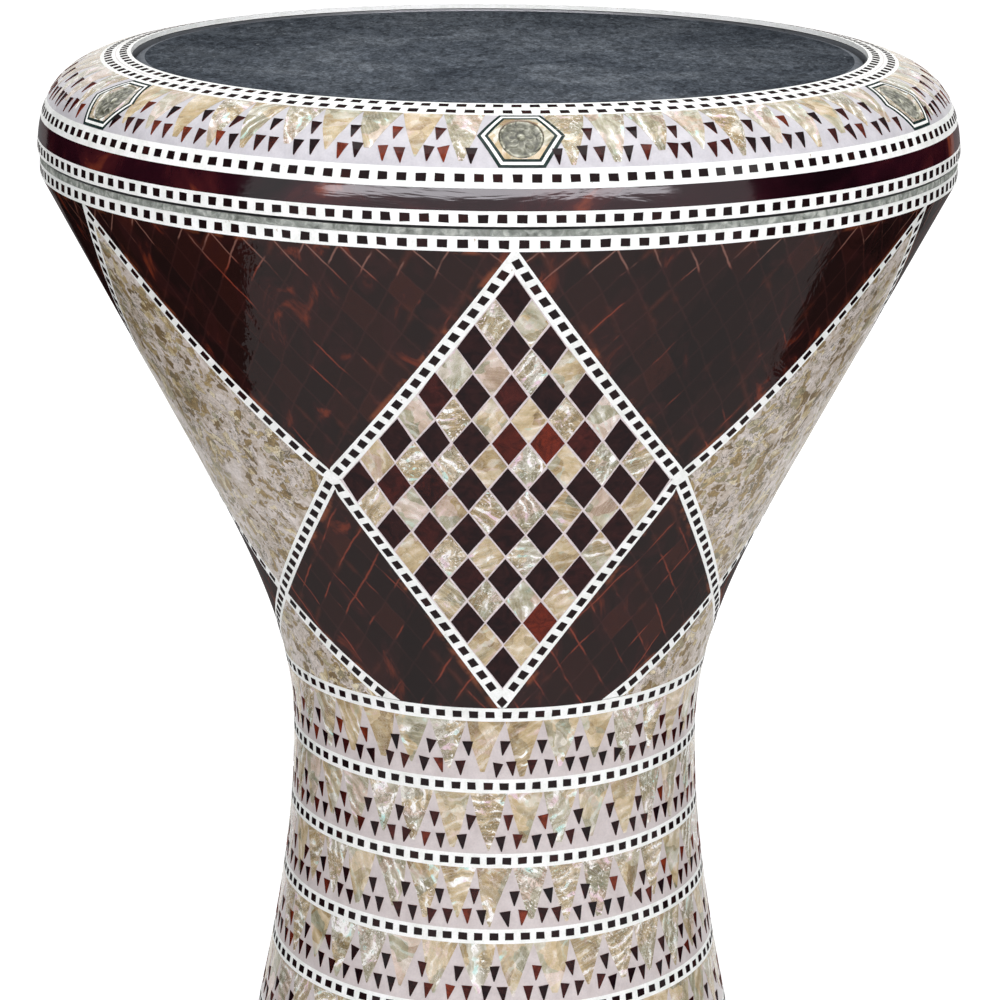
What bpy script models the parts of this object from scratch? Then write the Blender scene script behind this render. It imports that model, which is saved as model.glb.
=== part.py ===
"""A goblet drum: a cast shell, a plastic head, a screwed tension ring and panels of inlay.

Lengths are in metres. The drum stands on its foot at the origin, with its axis along +Z.
An azimuth is an angle about that axis, from the side that faces -Y towards +X.
"""

import math

import bmesh
import bpy
from mathutils import Matrix, Vector

# Heights, from the floor up
FOOT_LIP_HEIGHT = 0.0025
FOOT_HEIGHT = 0.1257
BAND_PITCH = 0.0241
NECK_ROWS = 5
BOWL_HEIGHT = 0.1577
BOWL_STRIP_HEIGHT = 0.0042
SHELL_LIP_HEIGHT = 0.0019
RIM_GAP = 0.0009
RIM_HEIGHT = 0.0291

# Radii of the visible outside
FOOT_RADIUS = 0.112
ANKLE_RADIUS = 0.0774
WAIST_RADIUS = 0.0653
HEAD_OPENING_RADIUS = 0.1131

# Widths outward from the head's opening
RIM_WIDTH = 0.0291
BOWL_INSET = 0.0006

# Shape of the goblet's outline
FOOT_SLOPE = -0.55
ANKLE_SLOPE = -0.21
CONE_SLOPE = 0.514
CONE_HEIGHT = 0.0985

# Shape of the rim's shoulder, a cubic curve from the lip to the wall
LIP_TILT = math.radians(8)
LIP_PULL = 0.016
WALL_PULL = 0.022

# Shell casting
SHELL_WALL = 0.004
FLANGE_THICKNESS = 0.006
COLLAR_WALL = 0.006
CROWN_ROUNDING = 0.003

# Tension ring casting
RING_WALL = 0.0045
RING_LIP_THICKNESS = 0.0072
RING_WEB = 0.003
BOSS_RADIUS = 0.0055
BOSS_INSET = 0.0006

# Head
FILM_THICKNESS = 0.0005
FILM_BELOW_LIP = 0.0019
FILM_SKIRT_HEIGHT = 0.012
HOOP_WIDTH = 0.0045
HOOP_HEIGHT = 0.006

# Tuning screws
BOLT_COUNT = 8
BOLT_RADIUS = 0.003
BOLT_REACH = 0.0226
BOLT_HEAD_RADIUS = 0.005
BOLT_HEAD_HEIGHT = 0.006
SOCKET_ACROSS_FLATS = 0.005
SOCKET_DEPTH = 0.003
THREAD_DEPTH = 0.017
FLANGE_HOLE_CLEARANCE = 0.0004

# Inlay
TILE_THICKNESS = 0.0015
STRIP_WIDTH = 0.0046
TIP_WIDTH = 0.002
RIM_EDGE_WIDTH = 0.0094
RIM_TOOTH_DROP = 0.0137
RIM_MID_HEIGHT = 0.0052
RIM_TORTOISE_HEIGHT = 0.0060
MEDALLION_MARGIN = 0.001
MEDALLION_TURN = math.radians(0.75)
FOOT_STRIP_HEIGHT = 0.0046
SIDE_CORNER_DROP = 0.0774
DIAMONDS = 6
PATTERN_TURN = math.radians(1.85)

# Clearances
SEAT_GAP = 0.0003
BED_GAP = 0.0006
JOINT_GAP = 0.0003

# Fineness of the solids
SEGMENTS = 36
BOLT_SEGMENTS = 8
PATH_STEPS = 60
STRIP_STEPS = 5
PANEL_ROWS = 5
LEG_ROWS = 4
PANEL_COLUMN = math.radians(6.5)
SHOULDER_STEPS = 5
CROWN_STEPS = 2
FILLET_STEPS = 6
NECK_STEPS = 4
FOOT_STEPS = 4
BORE_STEPS = 3

# Heights worked out from those above
Z_NECK_TOP = FOOT_HEIGHT + NECK_ROWS * BAND_PITCH
Z_WAIST = Z_NECK_TOP - BAND_PITCH
Z_BOWL_TOP = Z_NECK_TOP + BOWL_HEIGHT
Z_CONE_LOW = Z_BOWL_TOP - CONE_HEIGHT
Z_STRIP_TOP = Z_BOWL_TOP + BOWL_STRIP_HEIGHT
Z_SHELL_TOP = Z_STRIP_TOP + SHELL_LIP_HEIGHT
Z_RIM_LOW = Z_SHELL_TOP + RIM_GAP
Z_TOP = Z_RIM_LOW + RIM_HEIGHT
Z_SIDE_CORNER = Z_BOWL_TOP - SIDE_CORNER_DROP
Z_PANEL_LOW = Z_NECK_TOP + STRIP_WIDTH / 2 + JOINT_GAP
Z_FOOT_STRIP_TOP = FOOT_LIP_HEIGHT + JOINT_GAP + FOOT_STRIP_HEIGHT
Z_FILM_TOP = Z_TOP - FILM_BELOW_LIP
Z_RING_LEDGE = Z_TOP - RING_LIP_THICKNESS - FILM_BELOW_LIP + SEAT_GAP
Z_FLANGE_LOW = Z_SHELL_TOP - FLANGE_THICKNESS

# Radii and depths worked out from those above
METAL_DEPTH = TILE_THICKNESS + BED_GAP
FILM_RADIUS = HEAD_OPENING_RADIUS - SEAT_GAP
COLLAR_RADIUS = FILM_RADIUS - FILM_THICKNESS - SEAT_GAP
HOOP_INNER = FILM_RADIUS + SEAT_GAP
HOOP_OUTER = HOOP_INNER + HOOP_WIDTH
RING_WEB_INNER = HOOP_OUTER + JOINT_GAP
BOLT_CIRCLE_RADIUS = RING_WEB_INNER + BOSS_RADIUS + BOSS_INSET
RIM_RADIUS = HEAD_OPENING_RADIUS + RIM_WIDTH
BOWL_RADIUS = RIM_RADIUS - BOWL_INSET
CELL = math.pi / DIAMONDS


def hermite(z, low, high):
    """The radius at height z on a cubic between two stations of (height, radius, slope)."""
    (z_low, radius_low, slope_low), (z_high, radius_high, slope_high) = low, high
    span = z_high - z_low
    t = (z - z_low) / span
    ends = (2 * t**3 - 3 * t**2 + 1) * radius_low + (3 * t**2 - 2 * t**3) * radius_high
    slopes = (t**3 - 2 * t**2 + t) * slope_low + (t**3 - t**2) * slope_high
    return ends + span * slopes


def wall_radius(z):
    """The visible outside of the goblet at height z."""
    cone_low_radius = BOWL_RADIUS - CONE_SLOPE * CONE_HEIGHT
    stations = (
        (FOOT_LIP_HEIGHT, FOOT_RADIUS, FOOT_SLOPE),
        (FOOT_HEIGHT, ANKLE_RADIUS, ANKLE_SLOPE),
        (Z_WAIST, WAIST_RADIUS, 0.0),
        (Z_CONE_LOW, cone_low_radius, CONE_SLOPE),
    )
    if z >= Z_BOWL_TOP:
        return BOWL_RADIUS
    if z >= Z_CONE_LOW:
        return BOWL_RADIUS - CONE_SLOPE * (Z_BOWL_TOP - z)
    if z <= FOOT_LIP_HEIGHT:
        return FOOT_RADIUS
    for low, high in zip(stations, stations[1:]):
        if z <= high[0]:
            return hermite(z, low, high)
    return cone_low_radius


def wall_slope(z):
    step = 1e-5
    if z - step < FOOT_LIP_HEIGHT:
        return FOOT_SLOPE
    if z + step > Z_BOWL_TOP:
        return CONE_SLOPE
    return (wall_radius(z + step) - wall_radius(z - step)) / (2 * step)


def sunk_radius(z, depth):
    """The radius that lies depth below the wall's outside, square to it."""
    return wall_radius(z) - depth * math.hypot(1, wall_slope(z))


def wall_point(azimuth, z, depth):
    radius = sunk_radius(z, depth)
    turn = azimuth + PATTERN_TURN
    return Vector((radius * math.sin(turn), -radius * math.cos(turn), z))


def rim_frame(t):
    """Position and outward normal of the rim's shoulder, as (radius, height) pairs, at 0 <= t <= 1."""
    corners = (
        (HEAD_OPENING_RADIUS, Z_TOP),
        (
            HEAD_OPENING_RADIUS + LIP_PULL * math.cos(LIP_TILT),
            Z_TOP - LIP_PULL * math.sin(LIP_TILT),
        ),
        (RIM_RADIUS, Z_RIM_LOW + WALL_PULL),
        (RIM_RADIUS, Z_RIM_LOW),
    )
    shares = ((1 - t) ** 3, 3 * (1 - t) ** 2 * t, 3 * (1 - t) * t**2, t**3)
    rates = (-3 * (1 - t) ** 2, 3 * (1 - t) * (1 - 3 * t), 3 * t * (2 - 3 * t), 3 * t**2)
    point = [sum(s * c[i] for s, c in zip(shares, corners)) for i in (0, 1)]
    along = [sum(s * c[i] for s, c in zip(rates, corners)) for i in (0, 1)]
    length = math.hypot(*along)
    return point, (-along[1] / length, along[0] / length)


def solve(function, low, high):
    """The place between low and high where function changes sign."""
    rising = function(high) > function(low)
    for _ in range(50):
        middle = (low + high) / 2
        if (function(middle) > 0) == rising:
            high = middle
        else:
            low = middle
    return (low + high) / 2


def rim_t_at_height(z):
    return solve(lambda t: rim_frame(t)[0][1] - z, 0.0, 1.0)


def rim_t_at_radius(radius):
    return solve(lambda t: rim_frame(t)[0][0] - radius, 0.0, 1.0)


def rim_t_midway(t_high, t_low):
    """The place on the shoulder that is as far from one end of a band as from the other."""
    high, low = rim_frame(t_high)[0], rim_frame(t_low)[0]

    def nearer_high(t):
        point = rim_frame(t)[0]
        return math.dist(point, high) - math.dist(point, low)

    return solve(nearer_high, t_high, t_low)


def rim_sunk(t, depth):
    point, normal = rim_frame(t)
    return (point[0] - depth * normal[0], point[1] - depth * normal[1])


def steps(first, last, count):
    return [first + (last - first) * i / count for i in range(count + 1)]


def make_material(name, colour, roughness, metallic=0.0):
    material = bpy.data.materials.new(name)
    material.use_nodes = True
    shader = material.node_tree.nodes["Principled BSDF"]
    shader.inputs["Base Color"].default_value = (*colour, 1)
    shader.inputs["Roughness"].default_value = roughness
    shader.inputs["Metallic"].default_value = metallic
    material.diffuse_color = (*colour, 1)
    return material


def add_object(name, mesh_source, material, place=None, parent=None):
    """Turns a bmesh into a named object with its faces outward and its round sides smooth."""
    bmesh.ops.recalc_face_normals(mesh_source, faces=mesh_source.faces)
    mesh = bpy.data.meshes.new(name)
    mesh_source.to_mesh(mesh)
    mesh_source.free()
    mesh.shade_smooth()
    mesh.set_sharp_from_angle(angle=math.radians(35))
    made = bpy.data.objects.new(name, mesh)
    if material:
        mesh.materials.append(material)
    if place:
        made.location = place
    made.parent = parent
    bpy.context.scene.collection.objects.link(made)
    return made


def make_helper(name, mesh_source):
    helper = add_object(name, mesh_source, None)
    helper.hide_render = True
    helper.display_type = "WIRE"
    return helper


def add_boolean(made, other, operation):
    cut = made.modifiers.new(f"{operation.lower()}_{other.name}", "BOOLEAN")
    cut.operation = operation
    cut.object = other


def turned_mesh(section, segments):
    """A closed section of (radius, height) points, spun once round the Z axis."""
    mesh = bmesh.new()
    corners = [mesh.verts.new((radius, 0, z)) for radius, z in section]
    edges = []
    for first, second in zip(corners, corners[1:] + corners[:1]):
        if first.co.x > 0 or second.co.x > 0:
            edges.append(mesh.edges.new((first, second)))
    bmesh.ops.spin(
        mesh,
        geom=corners + edges,
        axis=(0, 0, 1),
        cent=(0, 0, 0),
        angle=2 * math.pi,
        steps=segments,
        use_merge=True,
    )
    bmesh.ops.remove_doubles(mesh, verts=mesh.verts, dist=1e-6)
    return mesh


def add_turned(name, section, material, parent=None, segments=SEGMENTS):
    return add_object(name, turned_mesh(section, segments), material, parent=parent)


def wall_skin_section(z_high, z_low, stations):
    """The section of a band of inlay on the goblet's outside."""
    heights = steps(z_high, z_low, stations)
    outside = [(wall_radius(z), z) for z in heights]
    inside = [(sunk_radius(z, TILE_THICKNESS), z) for z in reversed(heights)]
    return outside + inside


def rim_skin_section(t_high, t_low, stations):
    """The section of a band of inlay on the rim's shoulder."""
    places = steps(t_high, t_low, stations)
    outside = [rim_sunk(t, 0.0) for t in places]
    inside = [rim_sunk(t, TILE_THICKNESS) for t in reversed(places)]
    return outside + inside


class Path:
    """The straightest line on the wall that turns by a given angle on its way down."""

    def __init__(self, z_high, z_low, turn):
        self.heights = steps(z_high, z_low, PATH_STEPS)
        least_radius = min(wall_radius(z) for z in self.heights)
        self.grip = solve(lambda grip: self.total(grip) - turn, 0.0, least_radius * 0.999)
        self.turns = self.table(self.grip)

    def rate(self, z, grip):
        radius = wall_radius(z)
        return grip * math.hypot(1, wall_slope(z)) / (radius * math.sqrt(radius**2 - grip**2))

    def table(self, grip):
        turns = [0.0]
        for upper, lower in zip(self.heights, self.heights[1:]):
            turns.append(turns[-1] + self.rate((upper + lower) / 2, grip) * (upper - lower))
        return turns

    def total(self, grip):
        return self.table(grip)[-1]

    def turn_at(self, z):
        place = (self.heights[0] - z) / (self.heights[0] - self.heights[-1]) * PATH_STEPS
        index = min(max(int(place), 0), PATH_STEPS - 1)
        first, second = self.turns[index], self.turns[index + 1]
        return first + (second - first) * (place - index)

    def half_angle(self, z, half_width):
        """Half the strip's width across, seen as an angle about the axis."""
        radius = wall_radius(z)
        lean = math.sqrt(1 - (self.grip / radius) ** 2)
        return half_width / (radius * lean)


def add_block(mesh, rows, columns):
    """A curved block of inlay between rows of (height, left azimuth, right azimuth)."""
    layers = []
    for depth in (0.0, TILE_THICKNESS):
        layer = []
        for z, left, right in rows:
            pointed = right - left < 1e-7
            azimuths = [(left + right) / 2] if pointed else steps(left, right, columns)
            layer.append([mesh.verts.new(wall_point(a, z, depth)) for a in azimuths])
        layers.append(layer)
    outer, inner = layers
    for layer in layers:
        for upper, lower in zip(layer, layer[1:]):
            add_row_faces(mesh, upper, lower)
    for side in (0, -1):
        for i in range(len(rows) - 1):
            corners = (outer[i][side], outer[i + 1][side], inner[i + 1][side], inner[i][side])
            mesh.faces.new(corners)
    for end in (0, -1):
        for i in range(len(outer[end]) - 1):
            corners = (outer[end][i], outer[end][i + 1], inner[end][i + 1], inner[end][i])
            mesh.faces.new(corners)


def add_row_faces(mesh, upper, lower):
    if len(upper) == 1:
        for i in range(len(lower) - 1):
            mesh.faces.new((upper[0], lower[i], lower[i + 1]))
    elif len(lower) == 1:
        for i in range(len(upper) - 1):
            mesh.faces.new((lower[0], upper[i], upper[i + 1]))
    else:
        for i in range(len(upper) - 1):
            mesh.faces.new((upper[i], lower[i], lower[i + 1], upper[i + 1]))


def fuse_blocks(mesh):
    """Joins blocks that share a wall, and takes the shared walls out."""
    walls = {}
    for face in mesh.faces:
        corners = frozenset(tuple(round(x, 5) for x in corner.co) for corner in face.verts)
        walls.setdefault(corners, []).append(face)
    doubled = [face for faces in walls.values() if len(faces) > 1 for face in faces]
    bmesh.ops.delete(mesh, geom=doubled, context="FACES")
    bmesh.ops.remove_doubles(mesh, verts=mesh.verts, dist=1e-6)


def rows_between(heights, left, right):
    """Rows for add_block, closed to a point where the left side meets the right."""
    rows = []
    for z in heights:
        a, b = left(z), right(z)
        middle = (a + b) / 2
        rows.append((z, a, b) if b > a else (z, middle, middle))
    return rows


def mirrored(rows, azimuth):
    """The same rows on the other side of an azimuth."""
    return [(z, 2 * azimuth - right, 2 * azimuth - left) for z, left, right in rows]


def turned_by(rows, angle):
    return [(z, left + angle, right + angle) for z, left, right in rows]


def upper_path(z_tip):
    return Path(z_tip, Z_SIDE_CORNER, CELL)


def lower_path(z_tip):
    return Path(Z_SIDE_CORNER, z_tip, CELL)


def tip_height(path_to, z_edge, z_far):
    """Where the middles of two strips meet, so that their outer sides join in a narrow tip at z_edge."""

    def beyond_tip(z_tip):
        path = path_to(z_tip)
        turn = path.turn_at(z_edge)
        outer_side = min(turn, CELL - turn) + path.half_angle(z_edge, STRIP_WIDTH / 2)
        return outer_side - TIP_WIDTH / 2 / wall_radius(z_edge)

    return solve(beyond_tip, z_edge, z_far)


class BowlPattern:
    """The lines of the bowl's pattern: two rows of diamonds that share their side corners."""

    def __init__(self):
        z_path_low = Z_NECK_TOP + STRIP_WIDTH / 2
        z_upper_tip = tip_height(upper_path, Z_BOWL_TOP, Z_BOWL_TOP - 2 * STRIP_WIDTH)
        z_lower_tip = tip_height(lower_path, Z_PANEL_LOW, Z_PANEL_LOW + 2 * STRIP_WIDTH)
        self.upper = upper_path(z_upper_tip)
        self.lower = lower_path(z_lower_tip)
        self.cross = Path(Z_SIDE_CORNER, z_path_low, 2 * CELL)
        self.z_cross = solve(
            lambda z: self.cross.turn_at(z) - CELL, z_path_low, Z_SIDE_CORNER
        )

    def strip(self, path, z):
        return path.half_angle(z, STRIP_WIDTH / 2)

    def field(self, path, z):
        return path.half_angle(z, STRIP_WIDTH / 2 + JOINT_GAP)


def pattern_rows(pattern):
    """The rows of each kind of panel, for the panel nearest azimuth 0."""
    upper, lower, cross = pattern.upper, pattern.lower, pattern.cross
    z_high = Z_BOWL_TOP - JOINT_GAP
    z_side = Z_SIDE_CORNER

    def right_of_upper(z):
        return upper.turn_at(z) + pattern.field(upper, z)

    def left_of_upper(z):
        return upper.turn_at(z) - pattern.field(upper, z)

    def left_of_lower(z):
        return CELL - lower.turn_at(z) - pattern.field(lower, z)

    def right_of_lower(z):
        return CELL - lower.turn_at(z) + pattern.field(lower, z)

    def left_of_cross(z):
        turn = cross.turn_at(z)
        return min(CELL + turn, 3 * CELL - turn) - pattern.field(cross, z)

    def diamond(left_of_under):
        z_first = solve(left_of_upper, z_side, z_high)
        z_last = solve(left_of_under, Z_PANEL_LOW, z_side)
        heights = steps(z_first, z_side, PANEL_ROWS) + steps(z_side, z_last, PANEL_ROWS)[1:]
        edge = lambda z: left_of_upper(z) if z >= z_side else left_of_under(z)
        return rows_between(heights, lambda z: -edge(z), edge)

    def under_pearl(z):
        return CELL - cross.turn_at(z) - pattern.field(cross, z)

    z_tip = solve(lambda z: CELL - right_of_upper(z), z_side, z_high)
    upper_field = rows_between(
        steps(z_high, z_tip, PANEL_ROWS), right_of_upper, lambda z: 2 * CELL - right_of_upper(z)
    )
    z_peak = solve(lambda z: left_of_cross(z) - right_of_lower(z), pattern.z_cross, z_side)
    z_cross = pattern.z_cross
    heights = steps(z_peak, z_cross, PANEL_ROWS) + steps(z_cross, Z_PANEL_LOW, LEG_ROWS)[1:]
    lower_field = rows_between(heights, right_of_lower, left_of_cross)

    def side_of_triangle(z):
        return cross.turn_at(z) - CELL - pattern.field(cross, z)

    z_point = solve(side_of_triangle, Z_PANEL_LOW, pattern.z_cross)
    triangle = rows_between(
        steps(z_point, Z_PANEL_LOW, LEG_ROWS), lambda z: -side_of_triangle(z), side_of_triangle
    )
    return {
        "checker": diamond(left_of_lower),
        "pearl": diamond(under_pearl),
        "upper_field": upper_field,
        "lower_field": lower_field,
        "triangle": triangle,
    }


def add_panel(name, rows, material):
    mesh = bmesh.new()
    widest = max(right - left for z, left, right in rows)
    columns = math.ceil(widest / PANEL_COLUMN)
    add_block(mesh, rows, columns)
    bmesh.ops.remove_doubles(mesh, verts=mesh.verts, dist=1e-6)
    add_object(name, mesh, material)


def add_bowl_panels(pattern, materials):
    rows = pattern_rows(pattern)
    for i in range(DIAMONDS // 2):
        checker_turn = 4 * CELL * i
        pearl_turn = checker_turn + 2 * CELL
        checker_rows = turned_by(rows["checker"], checker_turn)
        pearl_rows = turned_by(rows["pearl"], pearl_turn)
        triangle_rows = turned_by(rows["triangle"], pearl_turn)
        add_panel(f"bowl_checker_diamond_{i + 1}", checker_rows, materials["pearl"])
        add_panel(f"bowl_pearl_diamond_{i + 1}", pearl_rows, materials["pearl"])
        add_panel(f"bowl_pearl_triangle_{i + 1}", triangle_rows, materials["pearl"])
        left_of_checker = mirrored(rows["lower_field"], 0.0)
        for j, lower_rows in enumerate((rows["lower_field"], left_of_checker)):
            name = f"bowl_tortoise_lower_{2 * i + j + 1}"
            add_panel(name, turned_by(lower_rows, checker_turn), materials["tortoise"])
    for i in range(DIAMONDS):
        upper_rows = turned_by(rows["upper_field"], 2 * CELL * i)
        add_panel(f"bowl_tortoise_upper_{i + 1}", upper_rows, materials["tortoise"])


def crotch_heights(path, z_high, z_low, half):
    """Where a strip's two sides leave the upright lines through its ends."""
    leaves_first = solve(lambda z: path.turn_at(z) - half(path, z), z_low, z_high)
    reaches_last = solve(lambda z: path.turn_at(z) + half(path, z) - CELL, z_low, z_high)
    return leaves_first, reaches_last


def add_bowl_frames(pattern, material):
    """The strips round the diamonds: a zigzag above the side corners, one below, and the legs."""
    upper, lower, cross = pattern.upper, pattern.lower, pattern.cross
    half = pattern.strip

    mesh = bmesh.new()
    z_high, z_low = Z_BOWL_TOP - JOINT_GAP, Z_SIDE_CORNER + JOINT_GAP / 2
    leaves, reaches = crotch_heights(upper, z_high, z_low, half)
    heights = [z_high, *steps(leaves, reaches, STRIP_STEPS), z_low]
    rows = rows_between(
        heights,
        lambda z: max(upper.turn_at(z) - half(upper, z), 0.0),
        lambda z: min(upper.turn_at(z) + half(upper, z), CELL),
    )
    for i in range(DIAMONDS):
        add_block(mesh, turned_by(rows, 2 * CELL * i), 1)
        add_block(mesh, turned_by(mirrored(rows, CELL), 2 * CELL * i), 1)
    fuse_blocks(mesh)
    add_object("bowl_frame_upper", mesh, material)

    mesh = bmesh.new()
    z_high, z_low = Z_SIDE_CORNER - JOINT_GAP / 2, Z_PANEL_LOW
    z_meet = pattern.z_cross + JOINT_GAP / 2
    lower_leaves, lower_reaches = crotch_heights(lower, z_high, z_low, half)
    cross_leaves, cross_reaches = crotch_heights(cross, z_high, z_meet, half)
    shared = sorted((lower_leaves, cross_leaves), reverse=True)
    lower_heights = [z_high, *shared, *steps(shared[1], lower_reaches, STRIP_STEPS)[1:], z_low]
    cross_heights = [z_high, *shared, *steps(shared[1], cross_reaches, STRIP_STEPS)[1:], z_meet]
    lower_rows = rows_between(
        lower_heights,
        lambda z: max(CELL - lower.turn_at(z) - half(lower, z), 0.0),
        lambda z: min(CELL - lower.turn_at(z) + half(lower, z), CELL),
    )
    cross_rows = rows_between(
        cross_heights,
        lambda z: max(CELL + cross.turn_at(z) - half(cross, z), CELL),
        lambda z: min(CELL + cross.turn_at(z) + half(cross, z), 2 * CELL),
    )
    for i in range(DIAMONDS // 2):
        turn = 4 * CELL * i
        for rows in (lower_rows, cross_rows):
            add_block(mesh, turned_by(rows, turn), 1)
            add_block(mesh, turned_by(mirrored(rows, 0.0), turn), 1)
    fuse_blocks(mesh)
    add_object("bowl_frame_lower", mesh, material)

    z_high = pattern.z_cross - JOINT_GAP / 2
    leaves = solve(
        lambda z: cross.turn_at(z) - half(cross, z) - CELL, Z_PANEL_LOW, z_high
    )
    rows = rows_between(
        [z_high, *steps(leaves, Z_PANEL_LOW, STRIP_STEPS)],
        lambda z: max(cross.turn_at(z) - CELL - half(cross, z), 0.0),
        lambda z: cross.turn_at(z) - CELL + half(cross, z),
    )
    for i in range(DIAMONDS // 2):
        mesh = bmesh.new()
        turn = 2 * CELL * (2 * i + 1)
        add_block(mesh, turned_by(rows, turn), 1)
        add_block(mesh, turned_by(mirrored(rows, 0.0), turn), 1)
        fuse_blocks(mesh)
        add_object(f"bowl_frame_legs_{i + 1}", mesh, material)


def bolt_places(z):
    for i in range(BOLT_COUNT):
        angle = 2 * math.pi * (i + 0.5) / BOLT_COUNT
        yield Vector(
            (BOLT_CIRCLE_RADIUS * math.sin(angle), -BOLT_CIRCLE_RADIUS * math.cos(angle), z)
        )


def columns_mesh(radius, z_low, z_high):
    """Upright cylinders on the bolt circle, whose flats lie no nearer the axis than radius."""
    mesh = bmesh.new()
    height = z_high - z_low
    corner_radius = radius / math.cos(math.pi / BOLT_SEGMENTS)
    for place in bolt_places((z_low + z_high) / 2):
        bmesh.ops.create_cone(
            mesh,
            cap_ends=True,
            segments=BOLT_SEGMENTS,
            radius1=corner_radius,
            radius2=corner_radius,
            depth=height,
            matrix=Matrix.Translation(place),
        )
    return mesh


def crown_arc(radius):
    """A quarter circle about the middle of the collar's rounded crown, from its top outwards."""
    middle_radius = COLLAR_RADIUS - CROWN_ROUNDING
    middle_z = Z_FILM_TOP - FILM_THICKNESS - SEAT_GAP - CROWN_ROUNDING
    return [
        (middle_radius + radius * math.sin(angle), middle_z + radius * math.cos(angle))
        for angle in steps(0, math.pi / 2, CROWN_STEPS)
    ]


def shell_section():
    """The casting: foot, neck, bowl, flange and the collar that the head bears on."""
    z_fillet = steps(Z_CONE_LOW, Z_NECK_TOP, FILLET_STEPS)[1:]
    z_neck = steps(Z_NECK_TOP, FOOT_HEIGHT, NECK_STEPS)[1:]
    z_foot = steps(FOOT_HEIGHT, FOOT_LIP_HEIGHT, FOOT_STEPS)[1:]
    outer_heights = [Z_STRIP_TOP + JOINT_GAP, Z_BOWL_TOP, Z_CONE_LOW, *z_fillet, *z_neck, *z_foot]
    outside = [(BOWL_RADIUS, Z_SHELL_TOP), (BOWL_RADIUS, Z_STRIP_TOP + JOINT_GAP)]
    outside += [(sunk_radius(z, METAL_DEPTH), z) for z in outer_heights]
    outside += [(FOOT_RADIUS, FOOT_LIP_HEIGHT), (FOOT_RADIUS, 0.0)]
    inner_depth = METAL_DEPTH + SHELL_WALL
    turns = (FOOT_LIP_HEIGHT, FOOT_HEIGHT, Z_NECK_TOP, Z_CONE_LOW)
    inner_heights = []
    for low, high in zip(turns, turns[1:]):
        inner_heights += steps(low, high, BORE_STEPS)[1:]
    inner_heights.append(Z_FLANGE_LOW)
    inside = [(sunk_radius(FOOT_LIP_HEIGHT, inner_depth), 0.0)]
    inside += [(sunk_radius(z, inner_depth), z) for z in inner_heights]
    collar_inner = COLLAR_RADIUS - COLLAR_WALL
    crown = crown_arc(CROWN_ROUNDING)
    collar = [(collar_inner, Z_FLANGE_LOW), (collar_inner, crown[0][1]), *crown]
    return outside + inside + collar + [(COLLAR_RADIUS, Z_SHELL_TOP)]


def ring_section():
    """The tension ring's casting: lip, shoulder, wall and the web inside it."""
    t_lip = rim_t_at_radius(HEAD_OPENING_RADIUS + RIM_EDGE_WIDTH)
    shoulder = [rim_sunk(t, METAL_DEPTH) for t in steps(t_lip, 1.0, SHOULDER_STEPS)]
    lip_z = rim_sunk(0.0, METAL_DEPTH)[1]
    outside = [(HEAD_OPENING_RADIUS, lip_z), *shoulder]
    groove_outer = RIM_RADIUS - METAL_DEPTH - RING_WALL
    groove_inner = RING_WEB_INNER + RING_WEB
    z_roof = Z_RING_LEDGE
    groove = [
        (groove_outer, Z_RIM_LOW),
        (groove_outer, z_roof - 2 * RING_WALL),
        (groove_outer - 2 * RING_WALL, z_roof - RING_WALL / 2),
        (groove_inner, z_roof - RING_WALL / 2),
    ]
    web_low = Z_RING_LEDGE - HOOP_HEIGHT
    inside = [
        (groove_inner, web_low),
        (RING_WEB_INNER, web_low),
        (RING_WEB_INNER, Z_RING_LEDGE),
        (HEAD_OPENING_RADIUS, Z_RING_LEDGE),
    ]
    return outside + groove + inside


def add_shell(materials):
    shell = add_turned("shell", shell_section(), materials["aluminium"])
    hole_radius = BOLT_RADIUS + FLANGE_HOLE_CLEARANCE
    margin = FLANGE_THICKNESS / 2
    holes = columns_mesh(hole_radius, Z_FLANGE_LOW - margin, Z_SHELL_TOP + margin)
    add_boolean(shell, make_helper("flange_holes", holes), "DIFFERENCE")


def add_head(materials, rim):
    """The plastic film over the collar, and the hoop round its edge."""
    inner_bend = CROWN_ROUNDING + SEAT_GAP
    z_skirt = Z_FILM_TOP - FILM_SKIRT_HEIGHT
    film = [
        (0.0, Z_FILM_TOP),
        *crown_arc(inner_bend + FILM_THICKNESS),
        (FILM_RADIUS, z_skirt),
        (FILM_RADIUS - FILM_THICKNESS, z_skirt),
        *reversed(crown_arc(inner_bend)),
        (0.0, Z_FILM_TOP - FILM_THICKNESS),
    ]
    add_turned("head_film", film, materials["film"])
    z_hoop = Z_RING_LEDGE - SEAT_GAP
    hoop = [
        (HOOP_INNER, z_hoop),
        (HOOP_OUTER, z_hoop),
        (HOOP_OUTER, z_hoop - HOOP_HEIGHT),
        (HOOP_INNER, z_hoop - HOOP_HEIGHT),
    ]
    add_turned("head_hoop", hoop, materials["aluminium"], rim)


def add_tension_ring(materials, rim):
    ring = add_turned("tension_ring", ring_section(), materials["aluminium"], rim)
    z_boss_top = Z_RING_LEDGE - RING_WALL / 4
    bosses = columns_mesh(BOSS_RADIUS, Z_RIM_LOW, z_boss_top)
    add_boolean(ring, make_helper("ring_bosses", bosses), "UNION")
    hole_radius = BOLT_RADIUS + SEAT_GAP
    holes = columns_mesh(hole_radius, Z_RIM_LOW - BOSS_RADIUS, Z_RIM_LOW + THREAD_DEPTH)
    add_boolean(ring, make_helper("ring_holes", holes), "DIFFERENCE")


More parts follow.
